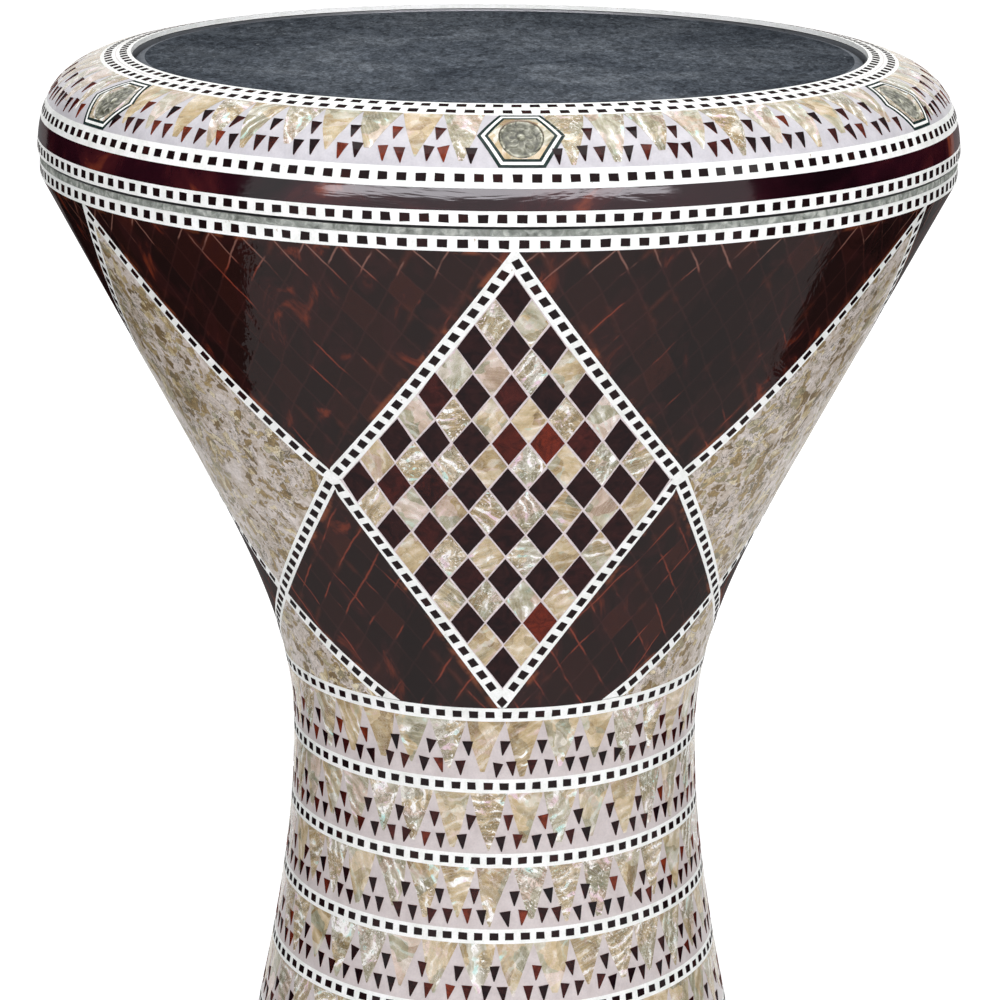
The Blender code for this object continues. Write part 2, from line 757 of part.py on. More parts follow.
def hexagon_mesh(across_flats, azimuth, t):
    """A hexagonal prism square to the rim's shoulder, with its corners to left and right."""
    point, normal = rim_frame(t)
    turn = azimuth + PATTERN_TURN
    radial = Vector((math.sin(turn), -math.cos(turn), 0))
    outward = radial * normal[0] + Vector((0, 0, normal[1]))
    sideways = Vector((math.cos(turn), math.sin(turn), 0))
    downward = outward.cross(sideways)
    centre = radial * point[0] + Vector((0, 0, point[1]))
    axes = Matrix((sideways, downward, outward)).transposed().to_4x4()
    mesh = bmesh.new()
    bmesh.ops.create_cone(
        mesh,
        cap_ends=True,
        segments=6,
        radius1=across_flats / math.sqrt(3),
        radius2=across_flats / math.sqrt(3),
        depth=across_flats,
        matrix=Matrix.Translation(centre) @ axes @ Matrix.Rotation(math.pi / 6, 4, "Z"),
    )
    return mesh


def joined_mesh(meshes):
    whole = bmesh.new()
    for mesh in meshes:
        copy = bpy.data.meshes.new("part_of_helper")
        mesh.to_mesh(copy)
        mesh.free()
        whole.from_mesh(copy)
        bpy.data.meshes.remove(copy)
    return whole


def add_rim_inlay(materials, rim):
    t_edge = rim_t_at_radius(HEAD_OPENING_RADIUS + RIM_EDGE_WIDTH)
    z_mid = Z_TOP - RIM_TOOTH_DROP
    t_mid = rim_t_at_height(z_mid)
    t_tortoise = rim_t_at_height(z_mid - RIM_MID_HEIGHT)
    t_low = rim_t_at_height(z_mid - RIM_MID_HEIGHT - RIM_TORTOISE_HEIGHT)
    gap = JOINT_GAP / RIM_HEIGHT / 2
    bands = (
        ("rim_edge_strip", 0.0, t_edge - gap, 2, "strip"),
        ("rim_mid_strip", t_mid + gap, t_tortoise - gap, 1, "strip"),
        ("rim_tortoise_band", t_tortoise + gap, t_low - gap, 1, "tortoise"),
        ("rim_low_strip", t_low + gap, 1.0, 1, "strip"),
    )
    for name, t_high, t_end, stations, slot in bands:
        add_turned(name, rim_skin_section(t_high, t_end, stations), materials[slot], rim)

    tooth_section = rim_skin_section(t_edge + gap, t_mid - gap, 4)
    band = add_turned("rim_tooth_band", tooth_section, materials["resin"], rim)
    azimuths = [2 * CELL * i + MEDALLION_TURN for i in range(DIAMONDS)]
    t_centre = rim_t_midway(t_edge, t_mid)
    band_width = math.dist(rim_frame(t_edge)[0], rim_frame(t_mid)[0])
    across_flats = band_width - 2 * MEDALLION_MARGIN
    window = across_flats + 2 * JOINT_GAP
    windows = joined_mesh([hexagon_mesh(window, a, t_centre) for a in azimuths])
    add_boolean(band, make_helper("medallion_windows", windows), "DIFFERENCE")
    blank = make_helper("medallion_blank", turned_mesh(tooth_section, SEGMENTS))
    for i, azimuth in enumerate(azimuths):
        hexagon = hexagon_mesh(across_flats, azimuth, t_centre)
        medallion = add_object(
            f"rim_medallion_{i + 1}", hexagon, materials["pearl"], parent=rim
        )
        add_boolean(medallion, blank, "INTERSECT")


def add_bands(materials):
    """The turned bands of inlay on the bowl's edge, the neck and the foot."""
    half = STRIP_WIDTH / 2
    bands = (
        ("bowl_top_strip", Z_STRIP_TOP, Z_BOWL_TOP, 1, "strip"),
        ("neck_top_strip", Z_NECK_TOP + half, Z_NECK_TOP - half, 1, "strip"),
        ("neck_inlay", Z_NECK_TOP - half - JOINT_GAP, FOOT_HEIGHT + half + JOINT_GAP, NECK_STEPS, "resin"),
        ("neck_low_strip", FOOT_HEIGHT + half, FOOT_HEIGHT - half, 1, "strip"),
        ("foot_inlay", FOOT_HEIGHT - half - JOINT_GAP, Z_FOOT_STRIP_TOP + JOINT_GAP, FOOT_STEPS, "tortoise"),
        ("foot_strip", Z_FOOT_STRIP_TOP, FOOT_LIP_HEIGHT + JOINT_GAP, 1, "strip"),
    )
    for name, z_high, z_low, stations, slot in bands:
        add_turned(name, wall_skin_section(z_high, z_low, stations), materials[slot])


def bolt_mesh():
    """A socket-head screw that points up, with its origin under the head's bearing face."""
    section = [
        (0.0, BOLT_REACH),
        (BOLT_RADIUS, BOLT_REACH),
        (BOLT_RADIUS, 0.0),
        (BOLT_HEAD_RADIUS, 0.0),
        (BOLT_HEAD_RADIUS, -BOLT_HEAD_HEIGHT),
        (0.0, -BOLT_HEAD_HEIGHT),
    ]
    return turned_mesh(section, BOLT_SEGMENTS)


def add_bolts(materials):
    socket = bmesh.new()
    socket_radius = SOCKET_ACROSS_FLATS / math.sqrt(3)
    bmesh.ops.create_cone(
        socket,
        cap_ends=True,
        segments=6,
        radius1=socket_radius,
        radius2=socket_radius,
        depth=2 * SOCKET_DEPTH,
    )
    for i, place in enumerate(bolt_places(Z_FLANGE_LOW - SEAT_GAP)):
        bolt = add_object(f"tuning_bolt_{i + 1}", bolt_mesh(), materials["steel"], place)
        helper = make_helper(f"bolt_socket_{i + 1}", socket.copy())
        helper.location = place - Vector((0, 0, BOLT_HEAD_HEIGHT))
        add_boolean(bolt, helper, "DIFFERENCE")
    socket.free()


def main():
    for old in list(bpy.data.objects):
        bpy.data.objects.remove(old)
    materials = {
        "aluminium": make_material("cast_aluminium", (0.56, 0.57, 0.58), 0.45, 1.0),
        "film": make_material("head_film", (0.045, 0.048, 0.055), 0.45),
        "steel": make_material("screw_steel", (0.30, 0.30, 0.32), 0.35, 1.0),
        "strip": make_material("cream_strip", (0.86, 0.84, 0.76), 0.2),
        "tortoise": make_material("tortoise_inlay", (0.055, 0.012, 0.010), 0.08),
        "pearl": make_material("pearl_inlay", (0.62, 0.53, 0.38), 0.15),
        "resin": make_material("inlay_resin", (0.70, 0.63, 0.65), 0.15),
    }
    rim = bpy.data.objects.new("rim", None)
    rim.location = (0, 0, 0)
    bpy.context.scene.collection.objects.link(rim)
    pattern = BowlPattern()
    add_shell(materials)
    add_head(materials, rim)
    add_tension_ring(materials, rim)
    add_rim_inlay(materials, rim)
    add_bolts(materials)
    add_bands(materials)
    add_bowl_panels(pattern, materials)
    add_bowl_frames(pattern, materials["strip"])


main()
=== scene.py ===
"""Looks of the goblet drum: fine inlay, film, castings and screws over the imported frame.

Lengths are in metres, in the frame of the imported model. An azimuth is an angle about the
drum's axis, from the pattern's front towards +X.
"""

import math

import bmesh
import bpy
import numpy as np
from mathutils import Matrix, Vector


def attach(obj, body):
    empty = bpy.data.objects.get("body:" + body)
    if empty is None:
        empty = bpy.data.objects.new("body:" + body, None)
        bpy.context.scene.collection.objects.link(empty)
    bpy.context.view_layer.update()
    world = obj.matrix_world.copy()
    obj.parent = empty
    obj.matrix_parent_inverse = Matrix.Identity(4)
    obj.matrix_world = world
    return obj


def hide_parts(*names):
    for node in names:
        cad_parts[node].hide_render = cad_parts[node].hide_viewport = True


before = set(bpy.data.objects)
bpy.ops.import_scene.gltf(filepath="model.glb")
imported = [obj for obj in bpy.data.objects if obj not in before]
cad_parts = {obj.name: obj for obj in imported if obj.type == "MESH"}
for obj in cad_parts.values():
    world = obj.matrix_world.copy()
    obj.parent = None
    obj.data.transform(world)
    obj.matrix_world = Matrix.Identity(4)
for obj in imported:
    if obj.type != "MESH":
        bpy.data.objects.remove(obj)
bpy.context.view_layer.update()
rng = np.random.default_rng(7)

# Heights of the foot, neck, bowl and ring
FOOT_LIP_HEIGHT = 0.0025
FOOT_HEIGHT = 0.1257
BAND_PITCH = 0.0241
CONE_HEIGHT = 0.0985
Z_NECK_TOP = FOOT_HEIGHT + 5 * BAND_PITCH
Z_WAIST = Z_NECK_TOP - BAND_PITCH
Z_BOWL_TOP = Z_NECK_TOP + 0.1577
Z_CONE_LOW = Z_BOWL_TOP - CONE_HEIGHT
Z_STRIP_TOP = Z_BOWL_TOP + 0.0042
Z_SHELL_TOP = Z_STRIP_TOP + 0.0019
Z_RIM_LOW = Z_SHELL_TOP + 0.0009
Z_TOP = Z_RIM_LOW + 0.0291
Z_SIDE = Z_BOWL_TOP - 0.0774

# Radii of the outside, and the wall's slopes in radius by height
FOOT_RADIUS = 0.112
ANKLE_RADIUS = 0.0774
WAIST_RADIUS = 0.0653
OPENING = 0.1131
RIM_RADIUS = OPENING + 0.0291
BOWL_RADIUS = RIM_RADIUS - 0.0006
FOOT_SLOPE = -0.55
ANKLE_SLOPE = -0.21
CONE_SLOPE = 0.514

# The curve of the ring's shoulder, which leaves the lip and the wall in straight pulls
LIP_TILT = math.radians(8)
LIP_PULL = 0.016
WALL_PULL = 0.022

# Metal under the tiles, and the parts that hold the head
TILE = 0.0015
METAL_DEPTH = TILE + 0.0006
SHELL_WALL = 0.004
FLANGE_THICKNESS = 0.006
COLLAR_WALL = 0.006
CROWN_ROUNDING = 0.003
SEAT_GAP = 0.0003
FILM_THICKNESS = 0.0005
FILM_LIFT = 0.0008
FILM_DROP = 0.0019
HOOP_WIDTH = 0.0045
HOOP_HEIGHT = 0.006
BOSS_RADIUS = 0.0055
BOLT_COUNT = 8
Z_FLANGE_LOW = Z_SHELL_TOP - FLANGE_THICKNESS
Z_FILM_TOP = Z_TOP - FILM_DROP
FILM_RADIUS = OPENING - SEAT_GAP
COLLAR_RADIUS = FILM_RADIUS - FILM_LIFT
Z_RING_LEDGE = Z_TOP - 0.0072 - FILM_DROP + SEAT_GAP
HOOP_INNER = FILM_RADIUS + SEAT_GAP
HOOP_OUTER = HOOP_INNER + HOOP_WIDTH
WEB_INNER = HOOP_OUTER + SEAT_GAP
BOLT_CIRCLE = WEB_INNER + BOSS_RADIUS + 0.0006

# Inlay: turns, strips, their squares, and the rim's bands from the lip down
PATTERN_TURN = math.radians(1.85)
MEDALLION_TURN = math.radians(0.75)
CELL = math.pi / 6
STRIP = 0.0046
TIP = 0.002
SQUARE_LONG = 0.00276
SQUARE_WIDE = 0.00226
SQUARE_PITCH = 0.0052
RIM_EDGE_WIDTH = 0.0094
RIM_TOOTH_DROP = 0.0137
RIM_MID_HEIGHT = 0.0052
RIM_TORTOISE_HEIGHT = 0.0060

# How far each layer lies below the solids' outside
BASE = -0.00016
STRIP_LIFT = -0.00011
TILE_LIFT = -0.00005
TRIANGLE_LIFT = -0.00002
TILE_DEPTH = 0.0006


# Surfaces


def hermite(z, low, high):
    (z0, r0, s0), (z1, r1, s1) = low, high
    t = (z - z0) / (z1 - z0)
    ends = (2 * t**3 - 3 * t**2 + 1) * r0 + (3 * t**2 - 2 * t**3) * r1
    return ends + (z1 - z0) * ((t**3 - 2 * t**2 + t) * s0 + (t**3 - t**2) * s1)


def wall_radius(z):
    cone_low = BOWL_RADIUS - CONE_SLOPE * CONE_HEIGHT
    stations = (
        (FOOT_LIP_HEIGHT, FOOT_RADIUS, FOOT_SLOPE),
        (FOOT_HEIGHT, ANKLE_RADIUS, ANKLE_SLOPE),
        (Z_WAIST, WAIST_RADIUS, 0.0),
        (Z_CONE_LOW, cone_low, CONE_SLOPE),
    )
    z = np.asarray(z, float)
    radius = np.where(z >= Z_BOWL_TOP, BOWL_RADIUS, BOWL_RADIUS - CONE_SLOPE * (Z_BOWL_TOP - z))
    for low, high in zip(stations, stations[1:]):
        inside = (z >= low[0]) & (z < high[0])
        radius = np.where(inside, hermite(z, low, high), radius)
    return np.where(z < FOOT_LIP_HEIGHT, FOOT_RADIUS, radius)


def wall_slope(z):
    z = np.clip(np.asarray(z, float), FOOT_LIP_HEIGHT + 2e-5, Z_BOWL_TOP - 2e-5)
    return (wall_radius(z + 1e-5) - wall_radius(z - 1e-5)) / 2e-5


class Wall:
    """The goblet's outside. Its second coordinate is the height."""

    def place(self, azimuth, z, lift):
        z = np.asarray(z, float)
        slope = np.where(z > Z_BOWL_TOP, 0.0, wall_slope(z))
        radius = wall_radius(z) + lift * np.hypot(1, slope)
        turn = np.asarray(azimuth, float) + PATTERN_TURN
        return np.stack([radius * np.sin(turn), -radius * np.cos(turn), z + 0 * turn], -1)

    def scale(self, z):
        """Metres per radian of azimuth, and metres down the surface per metre of height."""
        slope = 0.0 if z > Z_BOWL_TOP else float(wall_slope(z))
        return float(wall_radius(z)), -math.hypot(1, slope)


class Rim:
    """The tension ring's shoulder. Its second coordinate is the way down from the lip."""

    def __init__(self):
        t = np.linspace(0, 1, 3001)[:, None]
        corners = np.array(
            [
                (OPENING, Z_TOP),
                (OPENING + LIP_PULL * math.cos(LIP_TILT), Z_TOP - LIP_PULL * math.sin(LIP_TILT)),
                (RIM_RADIUS, Z_RIM_LOW + WALL_PULL),
                (RIM_RADIUS, Z_RIM_LOW),
            ]
        )
        shares = [(1 - t) ** 3, 3 * (1 - t) ** 2 * t, 3 * (1 - t) * t**2, t**3]
        rates = [-3 * (1 - t) ** 2, 3 * (1 - t) * (1 - 3 * t), 3 * t * (2 - 3 * t), 3 * t**2]
        self.point = sum(s * c for s, c in zip(shares, corners))
        along = sum(s * c for s, c in zip(rates, corners))
        along /= np.linalg.norm(along, axis=1)[:, None]
        self.normal = np.stack([-along[:, 1], along[:, 0]], 1)
        steps = np.linalg.norm(np.diff(self.point, axis=0), axis=1)
        self.way = np.concatenate([[0], np.cumsum(steps)])
        self.length = float(self.way[-1])

    def read(self, way, table):
        way = np.clip(np.asarray(way, float), 0, self.length)
        return [np.interp(way, self.way, table[:, i]) for i in (0, 1)]

    def place(self, azimuth, way, lift):
        (radius, z), (nr, nz) = self.read(way, self.point), self.read(way, self.normal)
        turn = np.asarray(azimuth, float) + PATTERN_TURN
        radius, z = radius + lift * nr, z + lift * nz
        return np.stack([radius * np.sin(turn), -radius * np.cos(turn), z + 0 * turn], -1)

    def scale(self, way):
        return float(self.read(way, self.point)[0]), 1.0

    def way_at_height(self, z):
        return float(np.interp(-z, -self.point[:, 1], self.way))

    def way_at_radius(self, radius):
        return float(np.interp(radius, self.point[:, 0], self.way))


wall, rim = Wall(), Rim()

# Way up along the wall, by height
SLANT_Z = np.linspace(0, Z_SHELL_TOP, 4000)
SLANT = np.concatenate([[0], np.cumsum(np.hypot(np.diff(SLANT_Z), np.diff(wall_radius(SLANT_Z))))])


# Meshes


def add_object(name, data, place=(0, 0, 0)):
    made = bpy.data.objects.new(name, data)
    made.location = place
    bpy.context.scene.collection.objects.link(made)
    return made


def finish_piece(name, mesh, body, replaced):
    made = add_object(name, mesh)
    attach(made, body)
    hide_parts(*replaced)
    return made


class Bag:
    """Collects the grids of one piece, each with its material, a tile number and flat coordinates."""

    def __init__(self):
        self.materials, self.points, self.shade, self.flat = [], [], [], []
        self.quads, self.quad_slots = [], []
        self.count = 0

    def slot(self, material):
        if material not in self.materials:
            self.materials.append(material)
        return self.materials.index(material)

    def grid(self, points, material, shade=0.5, flat=None, loop=False):
        """Rows going down, columns going towards greater azimuth, so that the faces look outward."""
        shape = points.shape[:2]
        size = shape[0] * shape[1]
        index = self.count + np.arange(size).reshape(shape)
        self.count += size
        self.points.append(points.reshape(-1, 3))
        self.shade.append(np.broadcast_to(np.ravel(shade), size).astype(float))
        self.flat.append(np.zeros((size, 3)) if flat is None else flat.reshape(-1, 3))
        right = np.roll(index, -1, axis=1) if loop else index[:, 1:]
        left = index if loop else index[:, :-1]
        quads = np.stack([left[:-1], left[1:], right[1:], right[:-1]], -1).reshape(-1, 4)
        self.quads.append(quads)
        self.quad_slots.append(np.full(len(quads), self.slot(material)))

    def slab(self, front, back, material, shade=0.5, flat=None):
        """A closed patch from its outside and its back, which are grids of the same size."""

        def edge(points):
            return np.concatenate([points[:-1, 0], points[-1, :-1], points[:0:-1, -1], points[0, :0:-1]])

        self.grid(front, material, shade, flat)
        self.grid(back[:, ::-1], material)
        self.grid(np.stack([edge(front), edge(back)]), material, loop=True)

    def tube(self, front, back, material, shade=0.5):
        """A closed band from its outside and its back, which are looped grids of the same size."""
        self.grid(front, material, shade, loop=True)
        for rows in (np.stack([front[-1], back[-1]]), back[::-1], np.stack([back[0], front[0]])):
            self.grid(rows, material, loop=True)

    def build(self, piece, suffix, body):
        mesh = bpy.data.meshes.new(f"{piece}_{suffix}")
        points, quads = np.concatenate(self.points), np.concatenate(self.quads)
        mesh.vertices.add(len(points))
        mesh.vertices.foreach_set("co", points.astype(np.float32).ravel())
        mesh.loops.add(quads.size)
        mesh.loops.foreach_set("vertex_index", quads.ravel().astype(np.int32))
        mesh.polygons.add(len(quads))
        mesh.polygons.foreach_set("loop_start", (np.arange(len(quads)) * 4).astype(np.int32))
        mesh.polygons.foreach_set("material_index", np.concatenate(self.quad_slots).astype(np.int32))
        mesh.polygons.foreach_set("use_smooth", np.full(len(quads), True))
        shade = mesh.attributes.new("shade", "FLOAT", "POINT")
        shade.data.foreach_set("value", np.concatenate(self.shade).astype(np.float32))
        flat = mesh.attributes.new("flat", "FLOAT_VECTOR", "POINT")
        flat.data.foreach_set("vector", np.concatenate(self.flat).astype(np.float32).ravel())
        for material in self.materials:
            mesh.materials.append(material)
        mesh.update(calc_edges=True)
        return finish_piece(f"{piece}_{suffix}", mesh, body, [piece])


def round_angles(count):
    return np.arange(count) * 2 * math.pi / count


def bilinear(corners, rows, columns):
    """Top left, bottom left, bottom right and top right corners, filled in with rows and columns."""
    tl, bl, br, tr = [np.array(c, float) for c in corners]
    v = np.linspace(0, 1, rows + 1)[:, None, None]
    u = np.linspace(0, 1, columns + 1)[None, :, None]
    return (1 - v) * ((1 - u) * tl + u * tr) + v * ((1 - u) * bl + u * br)


def patch(bag, surface, places, material, lift=TILE_LIFT):
    """A closed tile over a grid of places, given as (azimuth, second coordinate)."""
    front, back = [surface.place(places[..., 0], places[..., 1], d) for d in (lift, -TILE_DEPTH)]
    bag.slab(front, back, material, rng.random())


def tile(bag, surface, corners, material, lift=TILE_LIFT, rows=1, columns=1):
    patch(bag, surface, bilinear(corners, rows, columns), material, lift)


def moved(surface, azimuth, v, right, down):
    """The place that lies right and down of another by lengths along the surface."""
    across, along = surface.scale(v)
    return azimuth + right / across, v + down / along


def square(bag, surface, azimuth, v, wide=SQUARE_LONG, high=SQUARE_WIDE, lean=0.0):
    """A dark square of a strip, leaning by an angle from upright, with a hand-cut look."""
    corners = []
    for x, y in ((-1, -1), (-1, 1), (1, 1), (1, -1)):
        x = x * wide / 2 + rng.normal(0, 0.00007)
        y = y * high / 2 + rng.normal(0, 0.00006)
        right = x * math.cos(lean) + y * math.sin(lean)
        down = -x * math.sin(lean) + y * math.cos(lean)
        corners.append(moved(surface, azimuth, v, right, down))
    tile(bag, surface, corners, DARK)


def turned_band(bag, surface, v_values, lift, material, segments=360):
    """A closed band of the inlay's full thickness round the axis."""
    azimuth, v = np.meshgrid(round_angles(segments), v_values)
    bag.tube(surface.place(azimuth, v, lift), surface.place(azimuth, v, -TILE), material)


# Materials


class Value:
    """An output of a node. Its sums, differences and products are nodes of their own."""

    def __init__(self, nodes, socket):
        self.nodes, self.socket = nodes, socket

    def __add__(self, other):
        return self.nodes.math("ADD", self, other)

    def __sub__(self, other):
        return self.nodes.math("SUBTRACT", self, other)

    def __rsub__(self, other):
        return self.nodes.math("SUBTRACT", other, self)

    def __mul__(self, other):
        return self.nodes.math("MULTIPLY", self, other)


class Nodes:
    """A node tree and the ways to add to it."""

    def __init__(self, tree):
        self.tree = tree

    def feed(self, socket, value):
        if isinstance(value, Value):
            self.tree.links.new(value.socket, socket)
        else:
            socket.default_value = value

    def make(self, kind, inputs, **settings):
        made = self.tree.nodes.new(kind)
        for key, value in settings.items():
            setattr(made, key, value)
        for key, value in inputs.items():
            self.feed(made.inputs[key], value)
        return made

    def node(self, kind, inputs, output=0, **settings):
        return Value(self, self.make(kind, inputs, **settings).outputs[output])

    def math(self, operation, a, b=0.0):
        return self.node("ShaderNodeMath", {0: a, 1: b}, operation=operation)

    def seen(self):
        """1 for rays from the camera, mirrored rays and transmitted rays, and 0 for others."""
        made = self.make("ShaderNodeLightPath", {})
        names = ("Is Camera Ray", "Is Glossy Ray", "Is Transmission Ray")
        camera, glossy, transmitted = [Value(self, made.outputs[name]) for name in names]
        return self.math("MAXIMUM", self.math("MAXIMUM", camera, glossy), transmitted)


class Look(Nodes):
    """A Principled material and the nodes that drive it. Its coat is a weight, a roughness and an IOR."""

    def __init__(self, name, roughness=0.35, metallic=0.0, specular=0.3, coat=(0.0, 0.04, 1.5)):
        self.material = bpy.data.materials.new(name)
        self.material.use_nodes = True
        super().__init__(self.material.node_tree)
        self.shader = self.tree.nodes["Principled BSDF"]
        names = ("Coat Weight", "Coat Roughness", "Coat IOR", "Roughness", "Metallic", "Specular IOR Level")
        for socket, value in zip(names, (*coat, roughness, metallic, specular)):
            self.shader.inputs[socket].default_value = value
        self.place = self.node("ShaderNodeTexCoord", {}, "Object")

    def attribute(self, name, output="Fac"):
        return self.node("ShaderNodeAttribute", {}, output, attribute_name=name)

    def vector(self, operation, a, b=(0, 0, 0)):
        output = "Value" if operation == "LENGTH" else "Vector"
        return self.node("ShaderNodeVectorMath", {0: a, 1: b}, output, operation=operation)

    def scaled(self, a, scale):
        return self.node("ShaderNodeVectorMath", {0: a, "Scale": scale}, operation="SCALE")

    def stretched(self, *factors):
        return self.vector("MULTIPLY", self.place, factors)

    def split(self, kind, value):
        made = self.make("ShaderNodeSeparate" + kind, {0: value})
        return [Value(self, output) for output in made.outputs]

    def join(self, x, y, z):
        return self.node("ShaderNodeCombineXYZ", {0: x, 1: y, 2: z})

    def noise(self, scale, detail=3.0, distortion=0.0, vector=None, roughness=0.55, output="Fac"):
        inputs = {"Vector": vector or self.place, "Scale": scale, "Detail": detail}
        inputs.update({"Distortion": distortion, "Roughness": roughness})
        return self.node("ShaderNodeTexNoise", inputs, output)

    def voronoi(self, scale, output, vector):
        return self.node("ShaderNodeTexVoronoi", {"Vector": vector, "Scale": scale}, output)

    def wave(self, scale, distortion, detail, detail_scale, vector):
        inputs = {"Vector": vector, "Scale": scale, "Distortion": distortion}
        inputs.update({"Detail": detail, "Detail Scale": detail_scale})
        return self.node("ShaderNodeTexWave", inputs, "Fac", bands_direction="Z")

    def white(self, number):
        return self.node("ShaderNodeTexWhiteNoise", {"W": number}, "Value", noise_dimensions="1D")

    def ramp(self, factor, *stops):
        """A colour ramp. A stop is a position with a colour, or with a number for a grey."""
        made = self.make("ShaderNodeValToRGB", {"Fac": factor})
        band = made.color_ramp
        while len(band.elements) < len(stops):
            band.elements.new(0.5)
        for element, (position, colour) in zip(band.elements, stops):
            element.position = position
            element.color = (*colour, 1) if isinstance(colour, tuple) else (colour, colour, colour, 1)
        return Value(self, made.outputs["Color"])

    def own_tone(self, *stops):
        """A colour drawn for each tile."""
        return self.ramp(self.white(self.attribute("shade")), *stops)

    def mix(self, factor, a, b, blend="MIX"):
        a, b = [(*colour, 1) if isinstance(colour, tuple) else colour for colour in (a, b)]
        return self.node("ShaderNodeMix", {0: factor, 6: a, 7: b}, 2, data_type="RGBA", blend_type=blend)

    def times(self, a, b, factor=1.0):
        return self.mix(factor, a, b, "MULTIPLY")

    def step(self, value, low, high):
        """0 below low and 1 above high, smooth between."""
        inputs = {"Value": value, "From Min": low, "From Max": high}
        return self.node("ShaderNodeMapRange", inputs, "Result", interpolation_type="SMOOTHSTEP")

    def off_middle(self, value):
        return self.math("ABSOLUTE", value - 0.5)

    def bump(self, height, strength, distance):
        return self.node("ShaderNodeBump", {"Strength": strength, "Distance": distance, "Height": height})

    def set(self, **values):
        names = {"colour": "Base Color", "coat_normal": "Coat Normal"}
        for key, value in values.items():
            self.feed(self.shader.inputs[names.get(key, key.capitalize())], value)
        return self.material

    def tile_place(self):
        """The object's coordinates, moved by a step of its own for each tile."""
        shade = self.attribute("shade")
        offset = self.join(shade * TILE_STEP, shade * (2.3 * TILE_STEP), shade * (-1.7 * TILE_STEP))
        return self.vector("ADD", self.place, offset)


TILE_STEP = 0.37
WHITE = (1.0, 1.0, 1.0)
DARK_COAT = (0.05, 0.05, 2.6)


def plain_look(name, scale, detail, low, high, **shader):
    """One noise between two colours."""
    look = Look(name, **shader)
    return look.set(colour=look.ramp(look.noise(scale, detail), low, high))


def cream_look():
    look = Look("cream_strip", specular=0.1, coat=(0.3, 0.08, 1.22))
    patches = look.ramp(look.noise(160, 4), (0.3, (0.84, 0.86, 0.82)), (0.6, (0.97, 0.98, 0.96)))
    grain = look.ramp(look.noise(1500), (0.35, (0.80, 0.81, 0.77)), (0.55, WHITE))
    specks = look.step(look.noise(420, 5), 0.70, 0.76)
    colour = look.mix(specks, look.times(patches, grain, 0.35), (0.40, 0.31, 0.21))
    return look.set(colour=colour, roughness=look.ramp(look.noise(500), (0.3, 0.3), (0.7, 0.5)))


def dark_look():
    look = Look("dark_tile", specular=0.0, coat=DARK_COAT)
    tone = look.own_tone(
        (0.0, (0.0065, 0.0038, 0.0045)), (0.6, (0.011, 0.005, 0.0055)),
        (0.90, (0.020, 0.0065, 0.0065)), (1.0, (0.045, 0.010, 0.008)),
    )
    return look.set(colour=look.mix(look.noise(700, 2), tone, (0.013, 0.006, 0.0065)))


def checker_dark_look():
    """Maroon shell, here and there a red-brown piece with a cloudy glow."""
    look = Look("checker_dark", specular=0.0, coat=DARK_COAT)
    tone = look.own_tone(
        (0.0, (0.016, 0.0055, 0.0065)), (0.76, (0.021, 0.0065, 0.0072)),
        (0.91, (0.048, 0.009, 0.008)), (1.0, (0.16, 0.022, 0.009)),
    )
    cloud = look.noise(210, 4, 1.2, look.tile_place())
    glow = look.ramp(cloud, (0.35, (0.55, 0.6, 0.65)), (0.72, (1.7, 1.4, 1.2)))
    return look.set(colour=look.times(tone, glow))


def red_tile_look():
    look = Look("red_tile", specular=0.0, coat=DARK_COAT)
    tone = look.own_tone(
        (0.0, (0.007, 0.004, 0.006)), (0.5, (0.015, 0.005, 0.006)),
        (0.8, (0.050, 0.009, 0.008)), (1.0, (0.19, 0.034, 0.014)),
    )
    glow = look.ramp(look.noise(380, 3, 1.0), (0.4, (0.6, 0.55, 0.55)), (0.7, (1.5, 1.3, 1.2)))
    return look.set(colour=look.times(tone, glow))


